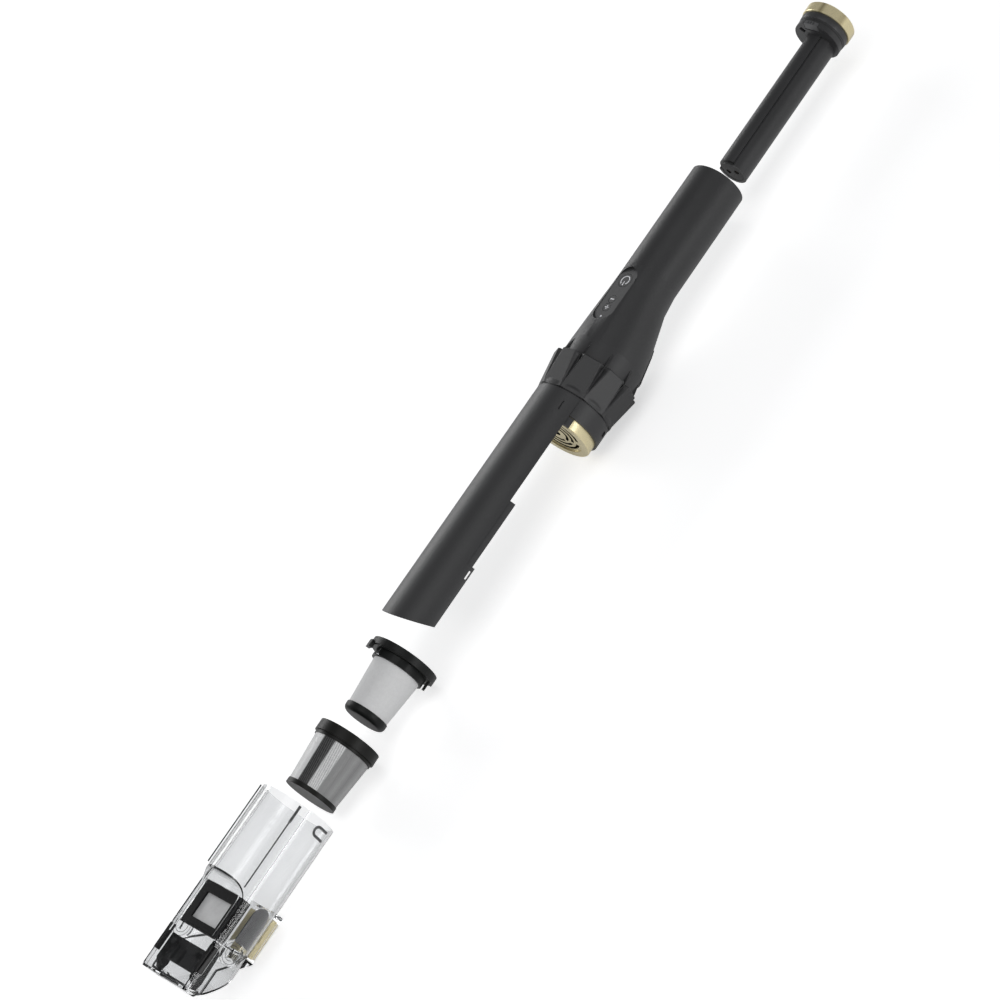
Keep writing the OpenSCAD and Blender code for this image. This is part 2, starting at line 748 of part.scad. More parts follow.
module battery_neck() color([0.16, 0.16, 0.17]) battery_place() difference() {
    rod(neck_r, -neck_len, 0);
    translate([0, -stem_drop, 0]) rod(cell_bore_r, -neck_len - 1, 1);
    translate([0, -stem_drop, 0]) rod(cell_bore_r + 1 + seat_gap, -neck_len - 1, -neck_len + 4 + seat_gap);
    pipe(neck_r + 1, neck_r - seal_t, seal_z, seal_z + seal_len);
    spoke(tab_a, tab_inner_r, neck_r + 1, tab_w + 2 * gap, -neck_len - 1, -neck_len + tab_len + gap);
    // Dark vent pocket beside the tab
    spoke(vent_a, tab_inner_r, neck_r - 3, 4, -neck_len - 1, -neck_len + tab_len);
}

module battery_seal() color([0.08, 0.08, 0.08]) battery_place()
    pipe(neck_r, neck_r - seal_t + 0.05, seal_z + 0.05, seal_z + seal_len - 0.05);

module release_tab() color([0.45, 0.45, 0.46]) battery_place() difference() {
    intersection() {
        rod(neck_r, -neck_len, -neck_len + tab_len);
        spoke(tab_a, tab_inner_r + tab_travel + gap, neck_r + 1, tab_w, -neck_len, -neck_len + tab_len);
    }
    for (k = [-1 : 1]) rotate([0, 0, tab_a]) translate([k * 2.2, neck_r - 0.3, tab_len / 2 - neck_len])
        cube([0.7, 1.6, tab_len - 1], center = true);
}

module battery_cap_ring() color([0.14, 0.14, 0.15]) battery_place() rotate_extrude() polygon([
    [ring_bore_r, 0], [cap_ring_r - 0.3, 0], [cap_ring_r, 0.3], [cap_ring_r + 0.3, cap_ring_len - 1.6],
    [cap_ring_r - 0.4, cap_ring_len - 1.4], [cap_ring_r - 0.4, cap_ring_len], [ring_bore_r, cap_ring_len]]);

module battery_cap() color([0.8, 0.72, 0.48]) battery_place() rotate_extrude() polygon([
    [0, cap_floor_z], [ring_bore_r, cap_floor_z], [ring_bore_r, cap_ring_len],
    [cap_r - 0.5, cap_ring_len], [cap_r, cap_ring_len + 0.5],
    [cap_r, cap_ring_len + cap_len - 1], [cap_r - 1, cap_ring_len + cap_len],
    [cap_r - 2.2, cap_ring_len + cap_len], [cap_r - 2.2, cap_floor_z + cap_floor_t],
    [0, cap_floor_z + cap_floor_t]]);

module battery_cap_disc() color([0.16, 0.16, 0.17]) battery_place() difference() {
    rod(cap_r - 2.25, cap_floor_z + cap_floor_t, cap_ring_len + cap_len - 0.8);
    pipe(cap_r - 5, cap_r - 6.2, cap_ring_len + cap_len - 1.4, cap_ring_len + cap_len);
}

module battery_cells() color([0.3, 0.45, 0.6]) stem_place() {
    rod(cell_r, cell_end, cell_end + cell_len);
    rod(cell_r, cell_top - cell_len, cell_top);
    rod(3, cell_end + cell_len - eps, cell_top - cell_len + eps);
    rod(3, cell_top - eps, cell_top + 1);
}

module battery_plug() color([0.14, 0.14, 0.15]) stem_place() difference() {
    rod(cell_bore_r - 0.05, stem_end + 0.3, stem_end + plug_t);
    for (s = [-1, 1]) translate([s * terminal_x, 0, 0])
        rod(terminal_r + 0.05, stem_end - 1, stem_end + plug_t + 1);
}

module battery_terminals() color([0.85, 0.7, 0.4]) stem_place()
    for (s = [-1, 1]) translate([s * terminal_x, 0, 0]) rod(terminal_r, stem_end + 1.4, cell_end - 0.05);

module battery_board() color([0.1, 0.35, 0.2]) battery_place() union() {
    rod(ring_bore_r - 0.1, cell_top + 1.1, cell_top + 2.3);
    translate([3, 2, 0]) rod(2.5, cell_top + 2.3 - eps, cell_top + 3.6);
}

// ---- Fine filter ----

module filter_flange() color([0.13, 0.14, 0.13]) filter_place() {
    difference() {
        union() {
            rod(flange_r, -flange_t, 0);
            rod(step_r, -flange_t - step_t, -flange_t + eps);
            intersection() {
                pipe(lug_r, flange_r - 1.5, -flange_t - 3.3, -flange_t + 2.3);
                slice(-39, -20, -flange_t - 4, 0);
            }
            spoke(screw_a, step_r - 2, step_r + 1.7, screw_lug_w, -flange_t - screw_lug_len, -flange_t + eps);
            spoke(foot_a, step_r + 1, step_r + 3, foot_w, -flange_t - foot_len, -flange_t + eps);
        }
        rod(fleece_r - 3, -flange_t - step_t - 1, 1);
        pipe(flange_r - 1, flange_r - 3.2, -1.2, 1);
        // Lower edge is stepped back except along one side
        difference() {
            pipe(flange_r + 1, flange_r - 1.4, -flange_t - 0.5, -flange_t + 0.7);
            slice(45, 150, -flange_t - 1, 0);
            slice(-40, -19, -flange_t - 1, 0);
        }
        rotate([0, 0, screw_a]) translate([0, step_r + 0.2, 0]) {
            rod(screw_r, -flange_t - screw_lug_len - 1, -flange_t + 2);
            rod(screw_head_r + seat_gap, -flange_t - step_t - 1, -flange_t - screw_lug_len);
        }
    }
}

module filter_gasket() color([0.2, 0.2, 0.2]) filter_place()
    pipe(flange_r - 1.05, flange_r - 3.15, -1.15, 0);

module filter_fleece() color([0.82, 0.82, 0.82]) filter_place() translate([0, 0, fleece_z]) difference() {
    cylinder(r1 = fleece_tip_r, r2 = fleece_r, h = fleece_len);
    translate([0, 0, -eps]) cylinder(r1 = fleece_tip_r - 3, r2 = fleece_r - 3, h = fleece_len + 2 * eps);
}

module filter_end_cap() color([0.13, 0.14, 0.13]) filter_place() {
    round_r = end_cap_len * 0.6;
    corner = [for (a = [-90 : 10 : 0]) [end_cap_r - round_r + round_r * cos(a),
        fleece_z - end_cap_len + round_r + round_r * sin(a)]];
    rotate_extrude() polygon(concat([[0, fleece_z - end_cap_len]], corner,
        [[end_cap_r, fleece_z], [0, fleece_z]]));
}

module filter_screw() color([0.7, 0.7, 0.72]) filter_place() rotate([0, 0, screw_a])
    translate([0, step_r + 0.2, 0]) {
        rod(screw_r - 0.02, -flange_t - screw_lug_len - eps, -flange_t + 1.8);
        rod(screw_head_r, -flange_t - screw_lug_len - 0.6, -flange_t - screw_lug_len);
    }

// ---- Mesh filter ----

module mesh_ring() color([0.13, 0.14, 0.13]) mesh_place() difference() {
    union() {
        rod(ring_r, -ring_len, 0);
        rod(lower_ring_r, mesh_top_z, -ring_len + eps);
    }
    rod(ring_bore, -ring_len - 5, 1);
    // Notches that the fine filter's foot and screw lug drop into
    spoke(foot_a, step_r - 1, ring_r + 1, foot_w + 4 * gap, -foot_len - gap, 1);
    spoke(screw_a, step_r - 1, ring_r - 0.8, screw_lug_w + 4 * gap, -screw_lug_len - 0.6 - gap, 1);
}

// The screen's cone between two distances inside its outer face
module mesh_cone(outer, inner) translate([0, 0, mesh_end_z]) difference() {
    cylinder(r1 = mesh_tip_r - outer, r2 = mesh_r - outer, h = mesh_len);
    translate([0, 0, -eps]) cylinder(r1 = mesh_tip_r - inner, r2 = mesh_r - inner, h = mesh_len + 2 * eps);
}

module mesh_screen() color([0.6, 0.6, 0.6]) mesh_place() mesh_cone(0, mesh_t);

module mesh_ribs() color([0.13, 0.14, 0.13]) mesh_place() intersection() {
    mesh_cone(mesh_t + 0.05, mesh_t + 1.3);
    for (i = [0 : rib_count - 1]) rotate([0, 0, i * 360 / rib_count])
        spoke(20, 10, 30, 3, mesh_end_z, mesh_top_z);
}

module mesh_base() color([0.13, 0.14, 0.13]) mesh_place() difference() {
    rod(base_r, mesh_end_z - base_t, mesh_end_z);
    rod(base_r - 1.8, mesh_end_z - base_t + 1.4, mesh_end_z + 1);
}

// ---- Dust cup ----

// Outside of the cup, grown or shrunk all round, ending at height top_z
module cup_form(grow, top_z) {
    n_len = norm([door_foot, body_r + door_head_y]);
    slope = door_foot / (body_r + door_head_y);
    slant_shift = grow * n_len / (body_r + door_head_y);
    front_z = nose_z - grow;
    corner_y = door_head_y + (slant_shift - grow) / slope;
    fillet_r = shoulder_r - grow;
    arc = [for (a = [90 : -10 : 0]) [deck_y + shoulder_r - fillet_r * sin(a), deck_z + fillet_r * cos(a)]];
    intersection() {
        union() {
            rod(under_cover_r + grow, nose_z, top_z);
            intersection() {
                rod(body_r + grow, nose_z, top_z);
                slice(saddle_edge - grow, 360 - saddle_edge + grow, nose_z - 1, top_z + 1);
            }
        }
        across(3 * body_r) polygon(concat([[corner_y, front_z], [deck_y + grow, front_z]], arc,
            [[2 * body_r, deck_z + fillet_r], [2 * body_r, top_z + 1], [-2 * body_r, top_z + 1],
            [-2 * body_r, nose_z + slope * (door_head_y + 2 * body_r) - slant_shift]]));
        pressed_down(2 * body_r, 0, 4 * body_r) union() {
            translate([-2 * body_r, nose_z + nose_round]) square([4 * body_r, 2 * cup_len]);
            translate([-body_r + nose_round, nose_z - 1]) square([2 * (body_r - nose_round), cup_len]);
            for (s = [-1, 1]) translate([s * (body_r - nose_round), nose_z + nose_round])
                circle(r = nose_round + grow);
        }
    }
}

// Everything in front of and below the door's seam, moved back by d
module door_side(d) across(4 * body_r) polygon([
    [seam_y + d, nose_z - 20],
    [seam_y + d, nose_z + level_seam + d * (sqrt(2) - 1)],
    [seam_y + level_seam - door_seam + d * (sqrt(2) - 1), nose_z + door_seam + d],
    [-3 * body_r, nose_z + door_seam + d],
    [-3 * body_r, nose_z - 20]]);

module hinge_rod(r, x, w) translate([x - w / 2, hinge_y, hinge_z]) rotate([0, 90, 0]) cylinder(r = r, h = w);

// Room around the fixed eyes, their legs, the door's knuckles and the pin
module eye_room(grow) {
    for (s = [-1, 1]) hinge_rod(eye_r + grow, s * eye_x, leg_w + 2 * gap);
    hinge_rod(door_pin_r + gap, 0, 2 * eye_x + leg_w + 2 * gap);
}

module dust_cup() color([0.9, 0.92, 0.92, 0.45]) cup_place() {
    difference() {
        union() {
            cup_form(0, 0);
            for (s = [-1, 1]) translate([s * (body_r - 4), 0, boss_z]) rotate([0, s * 90, 0])
                cylinder(r = boss_r, h = 4 + boss_t);
        }
        cup_form(-cup_wall, 1);
        door_side(gap + door_seal_w);
        translate([-frame_w / 2 - seat_gap, deck_y - 4, frame_end_z - seat_gap])
            cube([frame_w + 2 * seat_gap, 16, frame_len + 2 * seat_gap]);
        for (s = [-1, 1]) translate([s * (pad_x + 5), pad_y + 5 - seat_gap, pad_z - pad_len / 2])
            cube([10 + 2 * seat_gap, 10, pad_len + 2 * seat_gap], center = true);
        eye_room(eye_r * 0.4);
        for (s = [-1, 1]) hinge_rod(eye_r + gap, s * door_lug_x, door_lug_w + 2 * gap);
        for (s = [-1, 1]) translate([s * (body_r + boss_t), 0, boss_z]) cube([1, 1.6, 7], center = true);
    }
    // Guide ribs inside the saddle, thicker near the rim
    rib_r = under_cover_r - cup_wall;
    for (s = [-1, 1]) {
        spoke(s * rib_a, rib_r - 1.1, rib_r + 0.3, 1.2, 1 - cup_barrel_len, -0.5);
        spoke(s * rib_a, rib_r - 1.1, rib_r + 0.3, 2.4, -14, -0.5);
    }
}

module inlet_frame() color([0.25, 0.25, 0.26]) cup_place() difference() {
    union() {
        translate([-frame_w / 2, deck_y - frame_depth, frame_end_z]) cube([frame_w, frame_depth, frame_len]);
        // Lip that catches under the deck
        translate([-frame_w / 2 - 1.2, deck_y - cup_wall - seat_gap - 1.2, frame_end_z - 1.2])
            cube([frame_w + 2.4, 1.2, frame_len + 1.2]);
    }
    translate([-frame_w / 2 + frame_t, deck_y - frame_depth - 1, frame_end_z + frame_t])
        cube([frame_w - 2 * frame_t, frame_depth + 1 - frame_t, frame_len - 2 * frame_t]);
    translate([window_x - window_w / 2, deck_y - 5, window_z - window_len]) cube([window_w, 10, window_len]);
    translate([flap_x, flap_pin_y, 0]) rod(flap_pin_r + 0.02, frame_end_z - 1, frame_z + 1);
}

module inlet_flap() color([0.12, 0.12, 0.12]) cup_place() difference() {
    union() {
        translate([-frame_w / 2 + frame_t + gap, flap_y, flap_end_z])
            cube([flap_x + frame_w / 2 - frame_t - gap, flap_t, flap_len]);
        translate([flap_x, flap_pin_y, 0]) rod(knuckle_r, flap_end_z, flap_end_z + flap_len);
    }
    translate([flap_x, flap_pin_y, 0]) rod(flap_pin_r + 0.05, flap_end_z - 1, flap_end_z + flap_len + 1);
}

module flap_pin() color([0.7, 0.7, 0.72]) cup_place()
    translate([flap_x, flap_pin_y, 0]) rod(flap_pin_r, frame_end_z + 0.2, frame_z - 0.2);

module nose_bracket() color([0.2, 0.2, 0.21]) cup_place() difference() {
    union() {
        translate([-bracket_half_w, bracket_y - bracket_t, bracket_z - bracket_len])
            cube([2 * bracket_half_w, bracket_t, bracket_len]);
        // Two tall arms run down to the door's hinge. One of them starts at the frame
        for (s = [-1, 1]) {
            arm_z = s < 0 ? frame_end_z - 1.2 - gap : bracket_z;
            translate([s * eye_x, 0, 0]) across(leg_w) polygon([
                [bracket_y + arm_rise, arm_z], [bracket_y - arm_h, arm_z], [hinge_y - 1, hinge_z + 7],
                [hinge_y + 0.6, hinge_z + 1.2], [hinge_y + 1.6, hinge_z - 0.8],
                [bracket_y + arm_rise, bracket_z - bracket_len - 2]]);
            hinge_rod(eye_r, s * eye_x, leg_w);
            translate([s * 13, deck_y - cup_wall - seat_gap, 0]) pressed_down(0, bracket_z - 5,
                deck_y - cup_wall - seat_gap - bracket_y + eps) circle(r = 2.2);
        }
    }
    // Blind slots along the plate
    for (x = [0.5, 9]) translate([x - bracket_slot_w / 2, bracket_y - slot_depth, bracket_z - 15.4])
        cube([bracket_slot_w, 2, 9]);
    hinge_rod(door_pin_r + 0.02, 0, 3 * eye_x);
}

module side_pads() color([0.2, 0.2, 0.21]) cup_place() difference() {
    intersection() {
        rod(body_r, pad_z - pad_len, pad_z);
        for (s = [-1, 1]) translate([s * (pad_x + 5), (pad_y + deck_y) / 2, pad_z - pad_len / 2])
            cube([10, deck_y - pad_y, pad_len], center = true);
    }
    // Room for the cover's deep nozzle end
    intersection() {
        pipe(body_r + 1, body_r - cover_wall - gap, pad_z - pad_len - 1, pad_z + 1);
        slice(-nozzle_edge - 1, nozzle_edge + 1, pad_z - pad_len - 1, pad_z + 1);
    }
}

// The latch housing's outside: rounded along its long edges and at its upper end
module pod_form() intersection() {
    across(2 * pod_half_w) polygon(concat([[pod_top_y, pod_z], [pod_top_y, pod_end_z], [-rest_r, pod_end_z]],
        [for (a = [180 : -15 : 90]) [pod_round * (1 + cos(a)) - rest_r, pod_z - pod_round * (1 - sin(a))]]));
    translate([0, 0, pod_end_z]) linear_extrude(pod_z - pod_end_z) union() {
        translate([-pod_half_w, pod_edge_r - rest_r]) square([2 * pod_half_w, rest_r]);
        translate([pod_edge_r - pod_half_w, -rest_r]) square([2 * (pod_half_w - pod_edge_r), rest_r]);
        for (s = [-1, 1]) translate([s * (pod_half_w - pod_edge_r), pod_edge_r - rest_r])
            circle(r = pod_edge_r);
    }
}

module latch_pod() color([0.9, 0.92, 0.92, 0.45]) cup_place() difference() {
    pod_form();
    rod(body_r, pod_end_z - 1, pod_z + 1);
    translate([0, -rest_r - 1, latch_z - gap]) translate([-latch_half_w - gap, 0, 0])
        cube([2 * (latch_half_w + gap), 20, latch_len + 2 * gap]);
    // Wider above the ledge that keeps the latch in
    translate([-latch_half_w - latch_rim - gap, latch_ledge_y, latch_z - latch_rim - gap])
        cube([2 * (latch_half_w + latch_rim + gap), 20, latch_len + 2 * latch_rim + 2 * gap]);
}

module cup_latch() color([0.8, 0.72, 0.48]) cup_place() difference() {
    union() {
        translate([-latch_half_w, latch_low_y, latch_z]) cube([2 * latch_half_w, rest_r, latch_len]);
        translate([-latch_half_w - latch_rim, latch_ledge_y + gap, latch_z - latch_rim])
            cube([2 * (latch_half_w + latch_rim), rest_r, latch_len + 2 * latch_rim]);
    }
    rod(latch_room_r, latch_z - 5, latch_z + latch_len + 5);
    translate([-rest_r, pod_top_y - latch_travel - 2 * gap, latch_z - 5])
        cube([2 * rest_r, 2 * rest_r, latch_len + 10]);
    pressed_down(-body_r, latch_z + latch_len / 2, spring_len + gap) circle(r = spring_r + gap);
    // Finger grooves across the latch
    for (k = [-2 : 2]) translate([-latch_half_w + 3, latch_low_y - 1, latch_z + latch_len / 2 + k * 3.4 - 0.5])
        cube([2 * latch_half_w - 6, 1.4, 1]);
}

// Dark arch-shaped plates inside the cup's wall, one on each side of the latch
module latch_cheeks() color([0.3, 0.3, 0.31]) cup_place() intersection() {
    pipe(body_r - cup_wall - seat_gap, body_r - cup_wall - seat_gap - cheek_t, pod_end_z, pod_z + 1);
    across(2 * body_r) polygon(concat(
        [[cheek_y - cheek_r, pod_end_z + 3], [cheek_y + cheek_r, pod_end_z + 3]],
        [for (a = [0 : 10 : 180])
            [cheek_y + cheek_r * cos(a), pod_z - 4 - cheek_r * (1 - sin(a))]]));
}

// Coil spring drawn as the sleeve it fills
module latch_spring() color([0.75, 0.75, 0.77]) cup_place()
    pressed_down(-body_r - 0.05, latch_z + latch_len / 2, spring_len - 0.1) difference() {
        circle(r = spring_r);
        circle(r = spring_r - spring_t);
    }

module nose_door() color([0.9, 0.92, 0.92, 0.45]) cup_place() difference() {
    union() {
        intersection() {
            difference() {
                cup_form(0, nose_z + 2 * door_seam);
                cup_form(-cup_wall, nose_z + 2 * door_seam + 1);
            }
            door_side(0);
        }
        for (s = [-1, 1]) hinge_rod(eye_r, s * door_lug_x, door_lug_w);
        // Wedge under the door that the latch housing ends against
        difference() {
            across(2 * pod_half_w) polygon([[pod_top_y, nose_z + door_seam], [-rest_r, nose_z + door_seam],
                [pod_top_y, nose_z + door_seam - hook_len]]);
            rod(body_r - cup_wall / 2, nose_z, nose_z + 2 * door_seam);
        }
    }
    eye_room(eye_r * 0.4);
    hinge_rod(door_pin_r + 0.05, 0, 3 * eye_x);
}

module door_seal() color([0.08, 0.08, 0.08]) cup_place() difference() {
    intersection() {
        difference() {
            cup_form(0, nose_z + 2 * door_seam);
            cup_form(-cup_wall, nose_z + 2 * door_seam + 1);
        }
        door_side(gap + door_seal_w - 0.02);
    }
    door_side(gap);
    eye_room(eye_r * 0.4);
    for (s = [-1, 1]) hinge_rod(eye_r + gap, s * door_lug_x, door_lug_w + 2 * gap);
}

module door_pin() color([0.7, 0.7, 0.72]) cup_place() hinge_rod(door_pin_r, 0, 2 * eye_x + leg_w);

handle_housing();
motor_housing();
crown_collar();
spine_cover();
inlet_grille();
motor_can();
motor_mount();
impeller();
motor_shaft();
exhaust_grille();
exhaust_foam();
panel_plate();
power_button();
minus_button();
plus_button();
charge_light();
control_board();
button_pad();
battery_sleeve();
battery_contacts();
board_screws();
battery_tube();
battery_neck();
battery_seal();
battery_cap_ring();
battery_cap();
battery_cap_disc();
battery_cells();
battery_plug();
battery_terminals();
battery_board();
release_tab();
filter_flange();
filter_gasket();
filter_fleece();
filter_end_cap();
filter_screw();
mesh_ring();
mesh_screen();
mesh_ribs();
mesh_base();
dust_cup();
inlet_frame();
inlet_flap();
flap_pin();
nose_bracket();
side_pads();
latch_pod();
latch_cheeks();
cup_latch();
latch_spring();
nose_door();
door_seal();
door_pin();
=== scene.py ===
# %% [markdown]
# # A handheld vacuum, laid out in its parts
# The construction model gives every piece of the vacuum its size and its place. This notebook dresses it:
# it sets up a camera, gives each part a finish, makes the pieces that come easier from a formula than from
# solids, and lights the whole on a pale floor. Everything is in metres, with X along the body towards the
# battery, Z up, and the control panel on top.

# %% Load the construction model
import json
import math

import bmesh
import bpy
import numpy as np
from mathutils import Matrix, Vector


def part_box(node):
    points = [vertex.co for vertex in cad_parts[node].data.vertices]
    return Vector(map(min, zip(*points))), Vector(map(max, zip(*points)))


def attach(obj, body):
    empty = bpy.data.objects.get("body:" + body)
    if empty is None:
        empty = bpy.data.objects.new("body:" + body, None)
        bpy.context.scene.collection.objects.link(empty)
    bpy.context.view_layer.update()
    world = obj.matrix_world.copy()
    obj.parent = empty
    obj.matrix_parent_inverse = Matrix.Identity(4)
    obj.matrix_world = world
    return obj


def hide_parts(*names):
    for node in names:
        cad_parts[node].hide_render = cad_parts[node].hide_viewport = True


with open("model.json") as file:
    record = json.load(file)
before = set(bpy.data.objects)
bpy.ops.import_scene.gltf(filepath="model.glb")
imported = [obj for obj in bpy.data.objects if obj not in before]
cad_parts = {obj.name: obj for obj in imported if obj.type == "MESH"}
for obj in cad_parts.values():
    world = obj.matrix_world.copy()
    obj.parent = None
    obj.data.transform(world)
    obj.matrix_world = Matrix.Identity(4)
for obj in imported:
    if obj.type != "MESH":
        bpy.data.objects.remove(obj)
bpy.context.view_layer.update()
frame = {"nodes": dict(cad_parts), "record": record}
nodes = frame["nodes"]
record = frame["record"]
scene = bpy.context.scene

# %% [markdown]
# ## Where things are
# The round body's axis runs through the middle of the champagne inlet grille. Places are easier to think
# of in millimetres counted from that grille's face, so one small function turns them into metres. The sizes
# that later cells need are read from the model here, so they follow it when it changes.

# %% The body's own measure
MM = 0.001
grille_lo, grille_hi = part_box("inlet_grille")
FACE_X = grille_lo.x
AXIS_Z = (grille_lo.z + grille_hi.z) / 2


def mm(value):
    """Metres to millimetres."""
    return value / MM


def place(side, up, along):
    """Points in the row frame. side, up and along are millimetres from the grille's centre, as arrays."""
    side, up, along = np.broadcast_arrays(side, up, along)
    return np.stack([FACE_X + along * MM, side * MM, AXIS_Z + up * MM], axis=-1)


def along_of(x):
    """Millimetres along the body from the grille's face."""
    return mm(x - FACE_X)


def middle_up(node):
    """Height of the middle of a round node's axis."""
    low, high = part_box(node)
    return (low.z + high.z) / 2


BODY_R = mm(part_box("spine_cover")[1].z - AXIS_Z)
HANDLE_LOW, HANDLE_END = (along_of(corner.x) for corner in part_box("handle_housing"))
GRIP_R = next(mount for mount in record["mounts"] if mount["name"] == "handle_grip")["dims"]["r_mm"]
print("body radius %.1f mm, grip radius %.1f mm, handle ends at %.1f mm" % (BODY_R, GRIP_R, HANDLE_END))

# %% [markdown]
# ## The camera
# A long lens looks down along the body from the side of the control panel. Its aim is written with the
# body's own directions: how far the body leans across the view, how far it points away, and how far round
# the panel is turned. Three angles say more to a reader than a matrix of nine numbers.

# %% Camera
LEAN = math.radians(55.3)
AWAY = math.radians(14.96)
TURN = math.radians(51.0)
DISTANCE = 1.848
ASIDE = 0.0057
FOCAL_SHARE = 2.64
AIM_BACK = 63.2 * MM

along_x = np.array([1.0, 0.0, 0.0])
out_n = np.array([0.0, -math.sin(TURN), math.cos(TURN)])
out_w = np.array([0.0, -math.cos(TURN), -math.sin(TURN)])
axis_seen = math.cos(AWAY) * along_x + math.sin(AWAY) * out_n
view_dir = math.sin(AWAY) * along_x - math.cos(AWAY) * out_n
cam_right = math.cos(LEAN) * axis_seen + math.sin(LEAN) * out_w
cam_up = math.sin(LEAN) * axis_seen - math.cos(LEAN) * out_w
aim = np.array([FACE_X - AIM_BACK, 0.0, AXIS_Z])
eye = aim - ASIDE * out_w - DISTANCE * view_dir


def stand(thing, right, up, back, spot):
    """Places an object by its three axes and its spot."""
    matrix = np.eye(4)
    matrix[:3, :] = np.stack([right, up, back, spot], axis=-1)
    thing.matrix_world = Matrix(matrix.tolist())


camera_data = bpy.data.cameras.new("camera")
camera_data.sensor_width = 36.0
camera_data.lens = FOCAL_SHARE * camera_data.sensor_width
camera_data.clip_start = 0.05
camera_data.clip_end = 50
camera = bpy.data.objects.new("camera", camera_data)
scene.collection.objects.link(camera)
stand(camera, cam_right, cam_up, -view_dir, eye)
scene.camera = camera
print("camera at", np.round(eye, 3))

# %% [markdown]
# ## Shader maths as plain Python
# A material is a graph of nodes, but its sums read better as Python. `Value` wraps one socket and turns
# + - * into Math nodes. `Paint` owns one material: `make` adds any other node from its type, its settings
# and its inputs, and the short methods after it are the patterns that several finishes share.


# %% A number in a material
class Value:
    """A number somewhere in a material, which takes part in sums."""

    def __init__(self, paint, socket):
        self.paint = paint
        self.socket = socket

    def __add__(self, other):
        return self.paint.sum("ADD", self, other)

    def __sub__(self, other):
        return self.paint.sum("SUBTRACT", self, other)

    def __mul__(self, other):
        return self.paint.sum("MULTIPLY", self, other)

    def __rsub__(self, other):
        return self.paint.sum("SUBTRACT", other, self)

    __radd__ = __add__
    __rmul__ = __mul__

    def above(self, edge, soft):
        """0 below edge, 1 above it, with a ramp soft wide."""
        return self.paint.make("ShaderNodeMapRange", {"interpolation_type": "SMOOTHSTEP"},
                               {0: self, 1: edge - soft / 2, 2: edge + soft / 2})


# %% A material
def rgb(r, g, b):
    """A colour without transparency."""
    return (r, g, b, 1.0)


def grey(shade):
    """A colour without hue."""
    return rgb(shade, shade, shade)


class Paint:
    """One material: a Principled shader, and the nodes that feed it."""

    def __init__(self, name, **constants):
        self.material = bpy.data.materials.new(name)
        self.material.use_nodes = True
        self.tree = self.material.node_tree
        self.shader = self.tree.nodes["Principled BSDF"]
        for key, value in constants.items():
            self.set(key.replace("_", " "), value)

    def set(self, key, value):
        """Sets one of the shader's sockets to a constant or to a Value."""
        socket = self.shader.inputs[key]
        if isinstance(value, Value):
            self.tree.links.new(value.socket, socket)
        else:
            socket.default_value = value

    def make(self, kind, settings=None, inputs=None, output=0):
        """Adds a node. Settings come first, then its inputs by number or name. Gives one output."""
        node = self.tree.nodes.new(kind)
        for key, value in (settings or {}).items():
            if key == "stops":
                ramp = node.color_ramp
                for spot, (position, colour) in zip(ramp.elements, value[:2]):
                    spot.position = position
                    spot.color = colour
                for position, colour in value[2:]:
                    ramp.elements.new(position).color = colour
            else:
                setattr(node, key, value)
        for key, value in (inputs or {}).items():
            if isinstance(value, Value):
                self.tree.links.new(value.socket, node.inputs[key])
            else:
                node.inputs[key].default_value = value
        return Value(self, node.outputs[output])

    def sum(self, operation, first, second=0.0):
        """One Math node."""
        return self.make("ShaderNodeMath", {"operation": operation}, {0: first, 1: second})

    def spot(self, stretch=(1, 1, 1)):
        """Object coordinates, stretched along the three axes."""
        here = self.make("ShaderNodeTexCoord", output="Object")
        return self.make("ShaderNodeMapping", {}, {"Vector": here, "Scale": stretch})

    def axes(self):
        """The three object coordinates as Values."""
        here = self.make("ShaderNodeTexCoord", output="Object")
        return [self.make("ShaderNodeSeparateXYZ", {}, {0: here}, output=k) for k in range(3)]

    def noise(self, size, stretch=(1, 1, 1), detail=3.0, rough=0.55):
        """Soft noise from 0 to 1 with lumps about `size` metres across."""
        return self.make("ShaderNodeTexNoise", {},
                         {"Vector": self.spot(stretch), "Scale": 1 / size, "Detail": detail,
                          "Roughness": rough})

    def cells(self, size):
        """Distance to the nearest of many scattered points about `size` metres apart."""
        return self.make("ShaderNodeTexVoronoi", {}, {"Vector": self.spot(), "Scale": 1 / size})

    def round_angle(self, centre_up):
        """Angle round an axis at height centre_up, as 0 to 1: 0.5 on top, more towards the near side."""
        _, side, up = self.axes()
        turn = self.sum("ARCTAN2", side * -1.0, up - centre_up)
        return turn * (0.5 / math.pi) + 0.5

    def ramp(self, share, stops):
        """A grey that follows a Value; stops are (position, shade) pairs."""
        greys = [(position, grey(shade)) for position, shade in stops]
        return self.make("ShaderNodeValToRGB", {"stops": greys}, {0: share})

    def wave(self, value, count):
        """A sine from 0 to 1 that repeats count times while value goes from 0 to 1."""
        return self.sum("SINE", value * (count * 2 * math.pi)) * 0.5 + 0.5

    def blend_colour(self, share, first, second):
        """Mixes two colours by a Value or number."""
        return self.make("ShaderNodeMix", {"data_type": "RGBA"}, {0: share, 6: first, 7: second}, output=2)

    def bump(self, height, depth):
        """A bump normal from a height Value, depth in metres for a height of 1."""
        return self.make("ShaderNodeBump", {}, {"Height": height, "Distance": depth, "Strength": 1.0})


print("shader helpers ready")

# %% [markdown]
# ## The plastic finishes
# The housing is black ABS from a spark-eroded tool: its gloss is broken by a fine even grain, and broad
# faces vary a little where the flow of plastic cooled. So its base colour follows a wide cloud, and its
# roughness and bump a fine noise. The grain is two or three tenths of a millimetre, which shows only in a
# close view.


